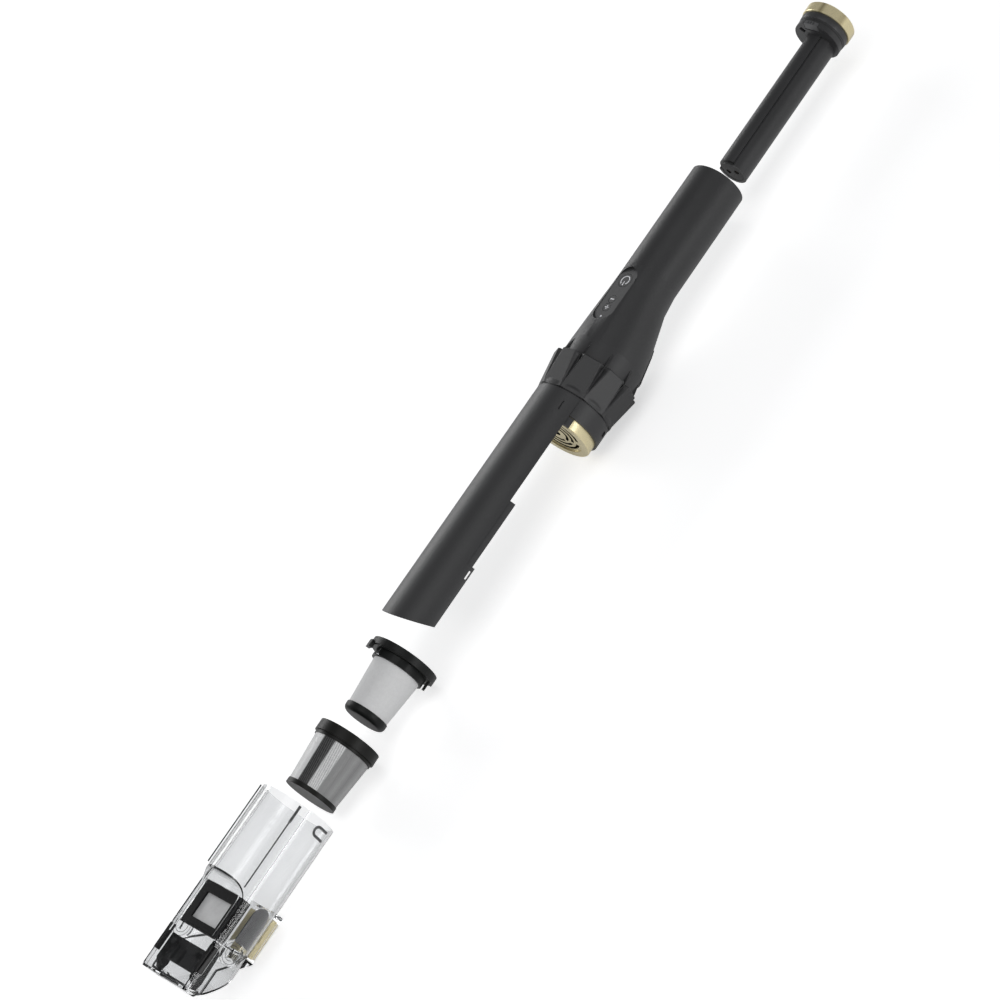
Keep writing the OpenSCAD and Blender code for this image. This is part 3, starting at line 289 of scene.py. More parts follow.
# %% Moulded plastic
def moulded(name, shade, gloss, grain=0.00022, tint=(1.0, 1.0, 1.03), shine=0.5):
    """Moulded plastic. shade is its brightness, gloss its mean roughness, grain the texture's size, and
    shine the strength of its mirror part, 0.5 for plain ABS."""
    paint = Paint(name, Specular_IOR_Level=shine)
    cloud = paint.noise(0.035, detail=2)
    fine = paint.noise(grain, detail=4, rough=0.65)
    low = rgb(*(shade * 0.88 * t for t in tint))
    high = rgb(*(shade * 1.14 * t for t in tint))
    paint.set("Base Color", paint.blend_colour(cloud, low, high))
    paint.set("Roughness", cloud * 0.06 + fine * 0.05 + (gloss - 0.055))
    paint.set("Normal", paint.bump(fine, 0.00001))
    return paint.material


# %% [markdown]
# The champagne band and cap are plastic with a metallic coat: pale gold flakes, and painted reflections,
# stripes of light and dark that run along the part where a round coated wall would mirror the room in
# stripes. An image of a room would be a heavy way to get them; a ramp that follows the angle round the axis
# is light. Behind the face of the grille, inside its slots, the colour is painted dark and dull: painted
# shade in the slots' recesses.

# %% Champagne coat
# Painted reflection: (place round the axis, brightness) pairs for light and dark stripes on the coat.
PAINTED_REFLECTION_STOPS = [(0.0, 0.4), (0.36, 0.9), (0.53, 1.0), (0.55, 0.1), (0.572, 1.0), (0.66, 1.0), (0.697, 0.35),
           (0.722, 0.95), (0.82, 0.9), (0.89, 0.45), (1.0, 0.4)]


def champagne(name, centre_up, reflection_contrast=0.8, slots_from=None, slots_r=0.0):
    """Metallic coat in pale gold: fine flakes, and painted reflections in stripes that run along the part.

    slots_from is the X behind which, inside the radius slots_r, the coat gives way to a painted shade, as in
    a grille's slots.
    """
    paint = Paint(name, Metallic=0.5, Anisotropic=0.3)
    flakes = paint.noise(0.0004, detail=2)
    cloud = paint.noise(0.03, (0.3, 1.0, 1.0), detail=1)
    # Painted reflection: the coat's colour follows the angle round the axis.
    painted_reflection = paint.ramp(paint.round_angle(centre_up), PAINTED_REFLECTION_STOPS)
    share = painted_reflection * reflection_contrast + cloud * 0.15 + (0.85 - reflection_contrast)
    coat = paint.blend_colour(share, rgb(0.30, 0.24, 0.11), rgb(0.95, 0.84, 0.52))
    # Painted shade: inside the slots the colour turns near black and loses its metal.
    if slots_from is not None:
        x, side, z = paint.axes()
        up = z - centre_up
        reach = paint.sum("SQRT", side * side + up * up)
        slot_shade = (x - slots_from).above(0.0003, 0.0003) * (1.0 - reach.above(slots_r, 0.0004))
        coat = paint.blend_colour(slot_shade, coat, rgb(0.02, 0.018, 0.014))
        paint.set("Metallic", 0.5 - slot_shade * 0.5)
    paint.set("Base Color", coat)
    paint.set("Roughness", flakes * 0.10 + 0.24)
    paint.set("Normal", paint.bump(flakes, 0.000004))
    return paint.material


# %% [markdown]
# The cup is clear polycarbonate. A Principled shader with full transmission makes it bend light. Its rims
# are painted
# grey by Layer Weight: painted shade for the dark surroundings that the wall reflects and bends where it is
# seen edge-on. It casts only a faint shadow, so its alpha drops for shadow rays.


# %% Clear plastic
def clear_plastic(name):
    """Clear polycarbonate: it bends light, ripples faintly, and has a painted shade where it is seen
    edge-on.
    """
    paint = Paint(name, IOR=1.32, Transmission_Weight=1.0)
    ripple = paint.noise(0.012, (0.35, 1.0, 1.0), detail=1)
    specks = paint.noise(0.0006, detail=2)
    painted_rim_shade = paint.make("ShaderNodeLayerWeight", {}, {"Blend": 0.25}, output="Facing")
    body = paint.blend_colour(ripple, rgb(0.82, 0.825, 0.83), rgb(0.86, 0.865, 0.87))
    # Painted shade: the base colour darkens towards the rims, where the wall is seen edge-on.
    paint.set("Base Color", paint.blend_colour(painted_rim_shade.above(0.45, 0.7), body, rgb(0.22, 0.225, 0.23)))
    paint.set("Roughness", specks * 0.03 + 0.005)
    paint.set("Normal", paint.bump(ripple, 0.00003))
    shadow = paint.make("ShaderNodeLightPath", output="Is Shadow Ray")
    paint.set("Alpha", 1.0 - shadow * 0.85)
    return paint.material


# %% [markdown]
# ## The soft and metal finishes
# Rubber and foam are the dull ones. Fleece is a felt of pressed fibres. The metals are steel pins, brass
# contacts and the motor's sheet-steel can, all with fine lines from drawing or turning. Image textures would
# need every piece unwrapped first; noise in object coordinates needs nothing, and stretched along X it gives
# threads and lines.


# %% Rubber, metal, fleece and foam
def rubber(name, shade=0.022):
    """Dull rubber with a faint bloom."""
    paint = Paint(name)
    bloom = paint.noise(0.008, detail=4)
    fine = paint.noise(0.00035, detail=2)
    paint.set("Base Color", paint.blend_colour(bloom, grey(shade * 0.8), grey(shade * 1.3)))
    paint.set("Roughness", bloom * 0.12 + 0.62)
    paint.set("Normal", paint.bump(fine, 0.00002))
    return paint.material


def metal(name, colour, gloss):
    """Drawn or turned metal with fine lines along it."""
    paint = Paint(name, Metallic=1.0)
    lines = paint.noise(0.0006, (0.15, 1.0, 1.0), detail=4)
    dim = rgb(*(c * 0.85 for c in colour))
    paint.set("Base Color", paint.blend_colour(lines, dim, rgb(*colour)))
    paint.set("Roughness", lines * 0.12 + gloss)
    paint.set("Normal", paint.bump(lines, 0.000008))
    return paint.material


def fleece(name):
    """Pressed filter fibres: pale grey, mottled, with a tangle of fine threads."""
    paint = Paint(name)
    mottle = paint.noise(0.0026, detail=5, rough=0.7)
    threads = paint.noise(0.00055, (0.5, 1.0, 1.0), detail=5, rough=0.75)
    paint.set("Base Color", paint.blend_colour(mottle * 0.6 + threads * 0.4, grey(0.68), grey(0.92)))
    paint.set("Roughness", threads * 0.1 + 0.86)
    paint.set("Normal", paint.bump(mottle * 0.5 + threads * 0.5, 0.00022))
    return paint.material


def foam(name):
    """Open-celled foam."""
    paint = Paint(name)
    cells = paint.cells(1 / 1400)
    paint.set("Base Color", paint.blend_colour(cells, grey(0.02), grey(0.11)))
    paint.set("Roughness", cells * 0.1 + 0.85)
    paint.set("Normal", paint.bump(cells, 0.0004))
    return paint.material


# %% [markdown]
# The mesh filter's cone is etched steel sheet. Painted reflections lie in bands that follow the angle round
# the cone: a bright band, a dark band, a bright one, and a grey one. Two ramps hold the ground and the marks
# of each band, and slanted threads and tiny holes choose between them. Thousands of
# modelled holes would look the same from here and weigh far more.

# %% Perforated steel
# Painted reflection bands: (place round the cone, brightness) pairs for the sheet's ground and for its
# marks.
REFLECTION_GROUND = [(0.0, 0.3), (0.36, 0.35), (0.40, 0.9), (0.513, 0.95), (0.519, 0.015), (0.586, 0.02), (0.592, 0.95),
          (0.650, 0.95), (0.656, 0.34), (0.70, 0.24), (0.735, 0.42), (0.77, 0.27), (0.82, 0.5), (0.88, 0.3),
          (1.0, 0.3)]
REFLECTION_MARKS = [(0.0, 0.35), (0.38, 0.35), (0.41, 0.62), (0.517, 0.62), (0.52, 0.14), (0.586, 0.14), (0.592, 0.25),
         (1.0, 0.35)]


def perforated(name, centre_up):
    """Etched steel sheet, rolled to a cone, with painted reflections in bands round it."""
    paint = Paint(name, Specular_IOR_Level=0.25)
    turn = paint.round_angle(centre_up)
    along = paint.axes()[0]
    threads = paint.wave(turn + along * 0.9, 84.0).above(0.84, 0.2)
    holes = paint.cells(1 / 1500).above(0.42, 0.25)
    cloud = paint.noise(0.01, (0.5, 1.0, 1.0), detail=3)
    share = threads * 0.45 + holes * 0.25 + cloud * 0.2
    paint.set("Base Color", paint.blend_colour(share, paint.ramp(turn, REFLECTION_GROUND), paint.ramp(turn, REFLECTION_MARKS)))
    paint.set("Roughness", threads * 0.15 + 0.22)
    paint.set("Normal", paint.bump(holes * 0.5 + threads * 0.5, 0.00006))
    return paint.material


def circuit(name):
    """Green solder mask with paler tracks."""
    paint = Paint(name)
    tracks = paint.make("ShaderNodeTexBrick", {},
                        {"Vector": paint.spot(), "Scale": 260.0, "Color1": rgb(0.01, 0.09, 0.03),
                         "Color2": rgb(0.02, 0.12, 0.05), "Mortar": rgb(0.05, 0.22, 0.10)})
    fine = paint.noise(0.002, detail=2)
    paint.set("Base Color", tracks)
    paint.set("Roughness", fine * 0.15 + 0.3)
    return paint.material


# %% [markdown]
# ## A finish for every slot
# The record names one material slot for each piece. The black parts differ a little in shade, as mouldings
# from different batches do, which keeps their joints readable.

# %% Paint the construction model
# Behind this X and inside this radius the grille's slots get a painted shade.
SLOTS_BEHIND = FACE_X + 0.9 * MM
SLOTS_R = 20.8 * MM

finish = {
    "housing": moulded("housing", 0.036, 0.47),
    "collar": moulded("collar", 0.031, 0.48),
    "cover": moulded("cover", 0.038, 0.47),
    "gold": champagne("gold", middle_up("inlet_grille"), 0.35, SLOTS_BEHIND, SLOTS_R),
    "cap_gold": champagne("cap_gold", middle_up("battery_cap")),
    "cap_disc": moulded("cap_disc", 0.034, 0.4),
    "motor_metal": metal("motor_metal", (0.55, 0.55, 0.57), 0.3),
    "mount_rubber": rubber("mount_rubber"),
    "fan_plastic": moulded("fan_plastic", 0.03, 0.4),
    "steel": metal("steel", (0.62, 0.62, 0.64), 0.2),
    "exhaust": moulded("exhaust", 0.006, 0.5),
    "foam": foam("foam"),
    "panel": moulded("panel", 0.044, 0.42, grain=0.0003),
    "buttons": moulded("buttons", 0.046, 0.42, grain=0.0003),
    "light": moulded("light", 0.9, 0.35),
    "board": circuit("board"),
    "pad_rubber": rubber("pad_rubber", 0.2),
    "inner_plastic": moulded("inner_plastic", 0.03, 0.5),
    "battery_case": moulded("battery_case", 0.036, 0.40),
    "battery_ring": moulded("battery_ring", 0.044, 0.42),
    "tab": moulded("tab", 0.10, 0.4),
    "cells": moulded("cells", 0.2, 0.25, tint=(0.35, 0.7, 1.3)),
    "terminals": metal("terminals", (0.3, 0.22, 0.12), 0.35),
    "seals": rubber("seals"),
    "filter_frame": moulded("filter_frame", 0.01, 0.42, tint=(0.95, 1.05, 1.0), shine=0.2),
    "fleece": fleece("fleece"),
    "mesh_frame": moulded("mesh_frame", 0.01, 0.42, tint=(1.0, 1.02, 0.9), shine=0.2),
    "mesh_steel": perforated("mesh_steel", middle_up("mesh_screen")),
    "clear": clear_plastic("clear"),
    "frame_plastic": moulded("frame_plastic", 0.006, 0.24, shine=0.2),
    "flap_rubber": rubber("flap_rubber", 0.62),
    "cheek_plastic": moulded("cheek_plastic", 0.075, 0.35),
}
slot_of = {part["node"]: part["material_slot"] for part in record["subparts"]}
body_of = {node: body for body, members in record["behaviour"]["bodies"].items() for node in members}
for name, thing in nodes.items():
    thing.data.materials.clear()
    thing.data.materials.append(finish[slot_of[name]])
print("finishes:", len(finish))

# %% [markdown]
# ## Pieces from grids
# A new piece is a grid of points from a formula: rows one way, columns the other. The quads between them
# are numbered with whole arrays, so fifty thousand faces need no loop over their corners.


# %% Grid pieces
def settle(thing, body, slot_name, sharp=35.0):
    """Gives a piece its finish, smooth shading with sharp edges kept, its slot and its body."""
    mesh = thing.data
    mesh.materials.clear()
    mesh.materials.append(finish[slot_name])
    mesh.polygons.foreach_set("use_smooth", np.ones(len(mesh.polygons), bool))
    mesh.set_sharp_from_angle(angle=math.radians(sharp))
    mesh.update()
    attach(thing, body)
    return thing


def mesh_piece(name, points, quads, body, slot_name, sharp=35.0):
    """A piece from an array of points and an array of quads."""
    mesh = bpy.data.meshes.new(name)
    mesh.from_pydata(points.reshape(-1, 3).tolist(), [], quads.tolist())
    mesh.validate()
    thing = bpy.data.objects.new(name, mesh)
    scene.collection.objects.link(thing)
    return settle(thing, body, slot_name, sharp)


def grid_quads(rows, columns, closed=False):
    """Quads of a grid numbered row by row. A closed grid joins on to itself both ways, like a ring."""
    number = np.arange(rows * columns).reshape(rows, columns)
    if closed:
        number = np.vstack([number, number[:1]])
        number = np.hstack([number, number[:, :1]])
    a, b, c, d = number[:-1, :-1], number[1:, :-1], number[1:, 1:], number[:-1, 1:]
    return np.stack([a, b, c, d], -1).reshape(-1, 4)


print("quads in a closed grid of 3 by 4:", len(grid_quads(3, 4, closed=True)))

# %% [markdown]
# ## The crown
# Ten flat-faced teeth stand round the collar, for a firm hold when the cup is turned. Seen along the axis,
# each tooth is a flat face with a V-shaped valley on either side; the valleys start as points at the lower
# edge and widen upwards. A bevel on solid teeth would break where the valleys run out to points. Here the
# collar is one surface instead, its radius a function of the angle and the place along, and a running mean
# over that radius rounds every edge alike.

# %% The crown's sizes
TEETH = 10
crown_lo, crown_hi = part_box("crown_collar")
CROWN_LOW = along_of(crown_lo.x)
CROWN_TOP = HANDLE_LOW + 13.95
FIN_TOP = along_of(crown_hi.x)
FACE_NEAR = BODY_R - 0.35
FACE_FAR = mm(AXIS_Z) - 0.25
VALLEY_R = BODY_R + 0.2
LIP = 1.5
FOOT = 0.75
INSIDE_R = BODY_R - 1.0
ROUND_OFF = 1.2
ROUND_DROP = 1.1


# %% The crown's outside
def share_of(value, start, length):
    """How far value has come from start over a length, kept between 0 and 1."""
    return np.clip((value - start) / length, 0, 1)


def crown_radius(angle, along):
    """Radius of the collar's outside.

    Within one tooth's share of the circle, the face is the plane at distance `face` from the axis, so its
    radius is face / cos(angle from the tooth's middle). Outside the face's half angle the radius falls in a
    straight line to the valley in the middle between two teeth. The valley's floor lifts to a lip at the
    rim, and a low foot ring runs round the lower edge.
    """
    share = 2 * math.pi / TEETH
    off = np.abs((angle + share / 2) % share - share / 2)
    rise = share_of(along, CROWN_LOW, CROWN_TOP - CROWN_LOW)
    face = FACE_NEAR + (FACE_FAR - FACE_NEAR) * rise
    half = share / 2 * (0.985 - 0.36 * np.clip(rise * 1.15 - 0.15, 0, 1))
    valley = VALLEY_R + LIP * share_of(along, CROWN_TOP - 2.4, 1.0)
    edge = face / np.cos(half)
    fall = np.clip((off - half) / (share / 2 - half + 1e-6), 0, 1)
    radius = np.where(off < half, face / np.cos(off), edge + (np.minimum(valley, edge) - edge) * fall)
    foot = BODY_R + FOOT * share_of(along, CROWN_LOW, 1.8) * share_of(-along, -CROWN_LOW - 6.0, 3.5)
    return np.maximum(radius, foot)


def blurred(values, width, axis, wrap):
    """Running mean over a few neighbours, which rounds the edges of a stepped surface."""
    pad = [(0, 0)] * values.ndim
    pad[axis] = (width, width)
    padded = np.pad(values, pad, mode="wrap" if wrap else "edge")
    total = sum(np.roll(padded, k, axis) for k in range(-width, width + 1)) / (2 * width + 1)
    keep = [slice(None)] * values.ndim
    keep[axis] = slice(width, -width)
    return total[tuple(keep)]


def crown():
    """The collar as one closed skin: up the outside, over the rim, and down the inside.

    The rim is rounded as a quarter circle: the radius shrinks by 1 - sqrt(1 - t squared), where t goes from
    0 to 1 over the last stretch.
    """
    angle = np.linspace(0, 2 * math.pi, 720, endpoint=False)
    flank = np.linspace(CROWN_LOW, CROWN_TOP - 1.6, 56)
    rim = np.linspace(CROWN_TOP - 1.5, CROWN_TOP - 0.02, 9)
    along = np.concatenate([flank, rim])
    outside = blurred(blurred(crown_radius(angle[None, :], along[:, None]), 2, 1, True), 1, 0, False)
    last = share_of(along, CROWN_TOP - ROUND_OFF, ROUND_OFF)
    outside = outside - ROUND_DROP * (1 - np.sqrt(1 - last ** 2))[:, None]
    outside = np.maximum(outside, BODY_R - 0.2)
    radius = np.vstack([outside, np.full((2, len(angle)), INSIDE_R)])
    along = np.concatenate([along, [CROWN_TOP - 0.02, CROWN_LOW]])
    points = place(-radius * np.sin(angle), radius * np.cos(angle), along[:, None])
    return points, grid_quads(len(along), len(angle), closed=True)[:, ::-1]


# %% [markdown]
# Thin fins run from the valleys on to the belly. Each is one outline in the plane through the axis, given
# a wider foot and a narrow ridge, so it has a wedge's section.

# %% The crown's fins
FIN_FOOT = 0.75
FIN_RIDGE = 0.28
FIN_OUTLINE = np.array([[CROWN_TOP - 11, -0.3], [CROWN_TOP - 3, 2.1], [CROWN_TOP - 0.6, 2.5],
                        [CROWN_TOP + 2.2, 1.7], [FIN_TOP - 3, 0.55], [FIN_TOP, 0.03], [FIN_TOP, -0.6],
                        [CROWN_TOP - 11, -0.9]])


def crown_fins(points, quads):
    """Adds the fins to the collar's mesh: each is an outline drawn twice, side by side, closed all round."""
    many = len(FIN_OUTLINE)
    every = [points.reshape(-1, 3)]
    faces = [quads]
    start = len(every[0])
    half = np.where(FIN_OUTLINE[:, 1] < 0.2, FIN_FOOT, FIN_RIDGE)
    side = np.stack([-half, half])
    up = BODY_R + FIN_OUTLINE[:, 1]
    for turn in (np.arange(TEETH) + 0.5) * 2 * math.pi / TEETH:
        round_side = side * math.cos(turn) + up * math.sin(turn)
        round_up = -side * math.sin(turn) + up * math.cos(turn)
        every.append(place(-round_side, round_up, FIN_OUTLINE[:, 0]).reshape(-1, 3))
        one = np.arange(many) + start
        two = one + many
        faces.append(np.stack([one, two, np.roll(two, -1), np.roll(one, -1)], -1))
        for ring, way in ((one, 1), (two, -1)):
            faces.append(np.stack([ring[0:3], ring[1:4], ring[[6, 5, 4]], ring[[7, 6, 5]]], -1)[:, ::way])
        start += 2 * many
    return np.vstack(every), np.vstack(faces)


crown_points, crown_quads = crown_fins(*crown())
crown_thing = mesh_piece("crown_skin", crown_points, crown_quads, "main", "collar", sharp=32.0)
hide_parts("crown_collar")
print("crown faces:", len(crown_quads), "from %.1f to %.1f mm" % (CROWN_LOW, FIN_TOP))

# %% [markdown]
# ## Ribbons: printed signs, ribs and seams
# Signs, seams and narrow ribs all follow a line and have one width. So they share one maker: it widens a
# line sideways in a flat drawing of u and v, and a second function lays that drawing on a flat top, round
# the body or on a side. A Solidify modifier gives it thickness.


# %% Ribbon maker
def ribbon(name, body, slot_name, strokes, width, surface, thick=0.04):
    """A thin band along lines drawn on a surface.

    strokes are lists of (u, v) millimetres. Each line is widened sideways by half the width both ways, and
    `surface` then turns every (u, v) into a point in the row frame.
    """
    points, faces, start = [], [], 0
    for stroke in strokes:
        middle = np.array(stroke, float)
        step = np.gradient(middle, axis=0)
        step /= np.linalg.norm(step, axis=1, keepdims=True)
        wide = np.stack([-step[:, 1], step[:, 0]], -1) * width / 2
        both = np.stack([middle - wide, middle + wide])
        points.append(surface(both[..., 0], both[..., 1]).reshape(-1, 3))
        faces.append(grid_quads(2, len(middle)) + start)
        start += 2 * len(middle)
    thing = mesh_piece(name, np.vstack(points), np.vstack(faces), body, slot_name)
    solid = thing.modifiers.new("thick", "SOLIDIFY")
    solid.thickness = thick * MM
    solid.offset = 0
    return thing


# %% Surfaces to lay a ribbon on
def on_top(node, lift=0.05):
    """The flat top of a node: u across, v along, from its middle."""
    low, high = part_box(node)
    middle = np.array([(low.x + high.x) / 2, (low.y + high.y) / 2, high.z + lift * MM])
    return lambda u, v: middle + np.stack([v * MM, u * MM, 0 * u], -1)


def wrapped(radius, centre_up=0.0):
    """A round surface: u is the distance round from the top towards the near side, v the place along."""
    return lambda u, v: place(-radius * np.sin(u / radius), centre_up + radius * np.cos(u / radius), v)


def on_side(side):
    """A flat side: u up from the axis, v along."""
    return lambda u, v: place(side + 0 * u, u, v)


# %% Lines to draw with
def degrees_at(radius, value):
    """Distance round a circle for an angle in degrees."""
    return radius * math.radians(value)


def line(start, end, many=2):
    """Points in a straight row between two (u, v) places."""
    return np.linspace(start, end, many)


def line_along(u, start, end, many):
    """A straight row of points that keeps its u."""
    return line((u, start), (u, end), many)


def arc(centre, radius, first, last, many=32):
    """Points on a circle, angles in degrees from the v direction."""
    turn = np.radians(np.linspace(first, last, many))
    return np.stack([centre[0] + radius * np.sin(turn), centre[1] + radius * np.cos(turn)], -1)


print("ribbon helpers ready")

# %% [markdown]
# ## The control panel
# The three buttons carry a power sign, a minus and a plus, printed in white. The power sign is an open ring
# with a bar through its gap. An image on the button would blur in a close view, and a ribbon stays sharp. A
# dark seam, a ribbon too, runs round the pill-shaped plate.

# %% Signs on the buttons
POWER_R = 3.7
ribbon("power_sign", "power_button", "light",
       [arc((0, 0), POWER_R, 218, 502, 44), line((0, -4.5), (0, -0.6))], 0.85, on_top("power_button"))
ribbon("minus_sign", "minus_button", "light", [line((-1.9, 0), (1.9, 0))], 1.0, on_top("minus_button"))
ribbon("plus_sign", "plus_button", "light", [line((-1.8, 0), (1.8, 0)), line((0, -1.8), (0, 1.8))], 0.8,
       on_top("plus_button"))
print("power sign's ring: radius %.1f mm" % POWER_R)

# %% The panel's seam
plate_lo, plate_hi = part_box("panel_plate")
pill_r = mm(plate_hi.y - plate_lo.y) / 2
pill_reach = mm(plate_hi.x - plate_lo.x) / 2 - pill_r
pill = np.vstack([arc((0, pill_reach), pill_r, -90, 90, 24), arc((0, -pill_reach), pill_r, 90, 270, 24)])
pill = np.vstack([pill, pill[:2]])
ribbon("panel_seam", "main", "seals", [pill], 0.5, on_top("panel_plate", 0.03))
print("panel plate %.1f mm long" % mm(plate_hi.x - plate_lo.x))

# %% [markdown]
# ## Painted shade on the black body
# A near-black ribbon under the crown is a painted shadow, where the crown's foot shades the cover. Two short
# slots mark the cover near the grille, and a zigzag notch is cut low in the grip's near side, at its end.
# They are a fraction of a millimetre deep, and dark ribbons laid on the surface paint the shade in them.

# %% The painted shadow under the crown
crown_shadow_at = CROWN_LOW - 0.6
half_round = degrees_at(BODY_R, 180)
# Painted shadow: a near-black band where the crown's foot shades the cover.
ribbon("crown_foot_shadow", "main", "exhaust", [line((-half_round, crown_shadow_at), (half_round, crown_shadow_at), 180)], 1.1,
       wrapped(BODY_R - 0.02))
print("seam under the crown at %.1f mm" % crown_shadow_at)

# %% Slots in the cover and the grip
SIDES = ((0, -1), (1, 1))
COVER_SLOT_SHADE = (7.2, 14.3)
NOTCH = [(141, 10.6), (139, 11.5), (139.5, 13.0), (136.5, 14.0), (137, 16.0)]

# Painted shade: near-black ribbons sunk in the cover's two slots.
for number, way in SIDES:
    slot_shade_u = way * degrees_at(BODY_R, 34.5)
    ribbon("cover_slot_shade_%d" % number, "main", "exhaust", [line_along(slot_shade_u, *COVER_SLOT_SHADE, 6)], 0.8,
           wrapped(BODY_R - 0.3), 0.7)
# Painted shade: a near-black ribbon in the grip's notch.
notch = [(degrees_at(GRIP_R, turn), HANDLE_END - back) for turn, back in NOTCH]
ribbon("handle_notch_shade", "main", "exhaust", [notch], 0.9, wrapped(GRIP_R - 0.02, BODY_R - GRIP_R), 0.1)
print("marks on the cover: %d, points of the notch: %d" % (len(SIDES), len(NOTCH)))

# %% [markdown]
# ## Details of the clear cup
# Two grey guide ribs run down inside the barrel, thicker near the rim. A U-shaped key is moulded beside the
# rim. The mould's parting lines show along the barrel, and round steps with a small slot surround the boss
# on each side. A bump in clear plastic hardly shows, so these are thin grey pieces of their own.

# %% Guide ribs
cup_lo, cup_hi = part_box("dust_cup")
RIM = along_of(cup_hi.x)
RIB_R = BODY_R - 4.9
RIB_END = RIM - 66
FOOT_END = RIM - 14

for number, way in SIDES:
    rib_u = way * degrees_at(RIB_R, 53.5)
    rib = line_along(rib_u, RIM - 1, RIB_END, 8)
    foot = line_along(rib_u, RIM - 1, FOOT_END, 4)
    ribbon("guide_rib_%d" % number, "dust_cup", "cheek_plastic", [rib], 0.9, wrapped(RIB_R), 0.7)
    ribbon("guide_foot_%d" % number, "dust_cup", "cheek_plastic", [foot], 1.8, wrapped(RIB_R - 0.1), 0.6)
print("cup rim at %.1f mm, ribs at radius %.1f mm" % (RIM, RIB_R))

# %% The key and the parting lines
KEY_AT = RIM - 8.0
KEY_R = 3.3
key_open = degrees_at(BODY_R, 113)
key_shut = degrees_at(BODY_R, 95)
key = np.vstack([line((key_open, KEY_AT + KEY_R), (key_shut, KEY_AT + KEY_R), 8),
                 arc((degrees_at(BODY_R, 94), KEY_AT), KEY_R, 0, -180, 20),
                 line((key_shut, KEY_AT - KEY_R), (key_open, KEY_AT - KEY_R), 8)])
ribbon("cup_key", "dust_cup", "cheek_plastic", [key], 1.9, wrapped(BODY_R - 0.3), 0.5)

PARTING_LINES = ((0, -38.5, 1.0), (1, 140.5, 0.6))
for number, turn, deep in PARTING_LINES:
    parting = line_along(degrees_at(BODY_R, turn), RIM - 1, RIM - 63, 8)
    ribbon("parting_line_%d" % number, "dust_cup", "cheek_plastic", [parting], 0.7,
           wrapped(BODY_R - 0.2 - deep / 2), deep)
print("key %.1f mm below the rim, parting lines: %d" % (RIM - KEY_AT, len(PARTING_LINES)))

# %% Steps and slots on the bosses
BOSS_AT = RIM - 105.6
BOSS_STEPS = (5.2, 7.6)
for number, way in SIDES:
    boss_face = on_side(way * (mm(cup_hi.y - cup_lo.y) / 2 + 0.02))
    ribbon("boss_rings_%d" % number, "dust_cup", "cheek_plastic",
           [arc((0, BOSS_AT), radius, 0, 369, 44) for radius in BOSS_STEPS], 0.35, boss_face)
    # Painted shade: a near-black ribbon in each boss's slot.
    ribbon("boss_slot_shade_%d" % number, "dust_cup", "exhaust",
           [line((-0.6, BOSS_AT - 3.2), (0.6, BOSS_AT + 3.2))], 1.3, boss_face)
print("bosses at %.1f mm" % BOSS_AT)

# %% [markdown]
# ## Softer edges
# The construction model has knife edges, and no moulded part does. A copy with a narrow bevel catches the
# light as the real one would. The copy's loose triangles are joined first and its flat faces merged, so that
# the bevel finds real edges only. Each copy takes its original's place.

# %% Softened copies
SOFT_ANGLE = 32.0


def soften(node, width):
    """A copy of a node with its edges rounded by `width` millimetres.

    Edges whose faces turn by more than SOFT_ANGLE degrees are rounded; flatter ones are only shaded smooth.
    """
    mesh = nodes[node].data.copy()
    mesh.name = node + "_soft"
    thing = bpy.data.objects.new(node + "_soft", mesh)
    scene.collection.objects.link(thing)
    grid = bmesh.new()
    grid.from_mesh(mesh)
    bmesh.ops.remove_doubles(grid, verts=grid.verts, dist=0.000004)
    bmesh.ops.dissolve_limit(grid, angle_limit=math.radians(0.6), verts=grid.verts, edges=grid.edges)
    grid.to_mesh(mesh)
    grid.free()
    settle(thing, body_of[node], slot_of[node], SOFT_ANGLE)
    bevel = thing.modifiers.new("edges", "BEVEL")
    bevel.width = width * MM
    bevel.segments = 2
    bevel.limit_method = "ANGLE"
    bevel.angle_limit = math.radians(SOFT_ANGLE)
    bevel.harden_normals = True
    bevel.use_clamp_overlap = True
    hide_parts(node)
    return thing


EDGES = {"handle_housing": 0.35, "nose_bracket": 0.3, "inlet_frame": 0.3, "panel_plate": 0.25,
         "release_tab": 0.35, "battery_cap_ring": 0.3, "battery_neck": 0.3, "filter_flange": 0.35,
         "latch_cheeks": 0.3, "side_pads": 0.2}
softened = [soften(node, width) for node, width in EDGES.items()]
print("softened pieces:", len(softened))

# %% [markdown]
# ## The room
# A wide pale floor fills the view. It shows the camera, and the clear plastic, a glow of its own, and still
# takes the shadow: lamps strong enough to whiten it alone would turn the black plastic grey.

# %% Floor
FLOOR_GLOW = 0.58
GLOSSY_SHARE = 0.4
FLOOR_REACH = 12.0


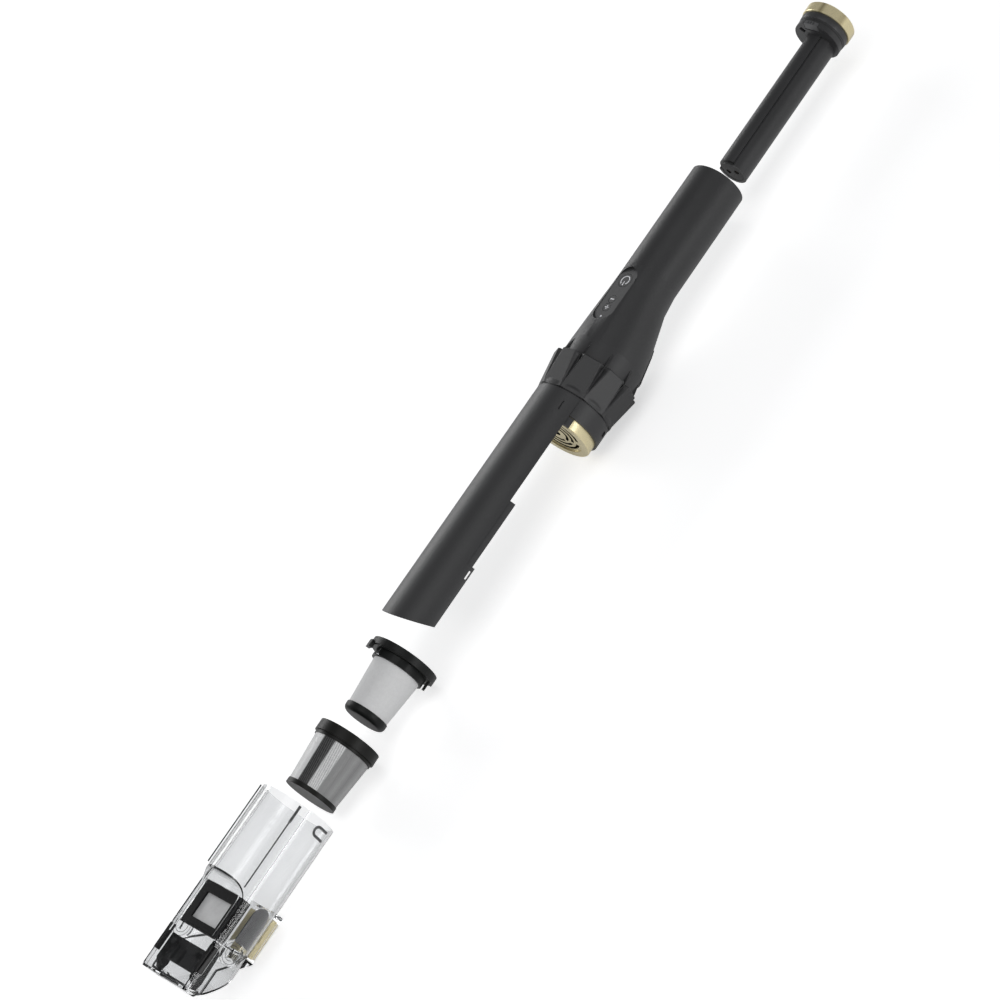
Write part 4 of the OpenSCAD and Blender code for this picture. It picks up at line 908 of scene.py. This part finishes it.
def pale_floor():
    """A flat floor under the object, paler to the eye than to the light."""
    mesh = bpy.data.meshes.new("floor")
    corners = [(-1, -1), (1, -1), (1, 1), (-1, 1)]
    mesh.from_pydata([(x * FLOOR_REACH, y * FLOOR_REACH, 0) for x, y in corners], [], [(0, 1, 2, 3)])
    floor = bpy.data.objects.new("floor", mesh)
    scene.collection.objects.link(floor)
    paint = Paint("floor_paint", Roughness=0.9)
    seen, through, glossy = (paint.make("ShaderNodeLightPath", output=kind)
                             for kind in ("Is Camera Ray", "Is Transmission Ray", "Is Glossy Ray"))
    shown = paint.sum("MAXIMUM", paint.sum("MAXIMUM", seen, through), glossy * GLOSSY_SHARE)
    paint.set("Base Color", grey(0.86))
    paint.set("Emission Color", paint.blend_colour(shown, grey(0), grey(1)))
    paint.set("Emission Strength", FLOOR_GLOW)
    mesh.materials.append(paint.material)


pale_floor()
print("floor reaches %.0f m each way" % FLOOR_REACH)

# %% [markdown]
# The lamps are large and soft, as a studio's are, so that round black plastic gets broad bands of light
# along its length. One hangs overhead, and a long one on each side picks out the edges.


# %% Lamps
def softbox(name, direction, distance, size, power, longer):
    """A lamp that faces the object from a direction; it is `longer` times its size along the body."""
    light = bpy.data.lights.new(name, "AREA")
    light.shape = "RECTANGLE"
    light.size = size * longer
    light.size_y = size
    light.energy = power
    lamp = bpy.data.objects.new(name, light)
    scene.collection.objects.link(lamp)
    away = np.array(direction) / np.linalg.norm(direction)
    level = along_x - away * (along_x @ away)
    level = level / np.linalg.norm(level)
    stand(lamp, level, np.cross(away, level), away, np.array([0, 0, AXIS_Z]) + away * distance)


softbox("key", (-0.2, -0.35, 1.0), distance=2.2, size=1.3, power=15, longer=1.8)
softbox("far_side", (0.1, 1.0, 0.35), distance=1.8, size=0.6, power=15, longer=2.8)
softbox("near_side", (0.0, -1.0, 0.06), distance=1.8, size=0.5, power=12, longer=2.8)

room = bpy.data.worlds.new("room")
scene.world = room
room.use_nodes = True
sky = room.node_tree.nodes["Background"]
sky.inputs["Color"].default_value = rgb(0.9, 0.92, 0.95)
sky.inputs["Strength"].default_value = 0.20
scene.view_settings.view_transform = "Standard"
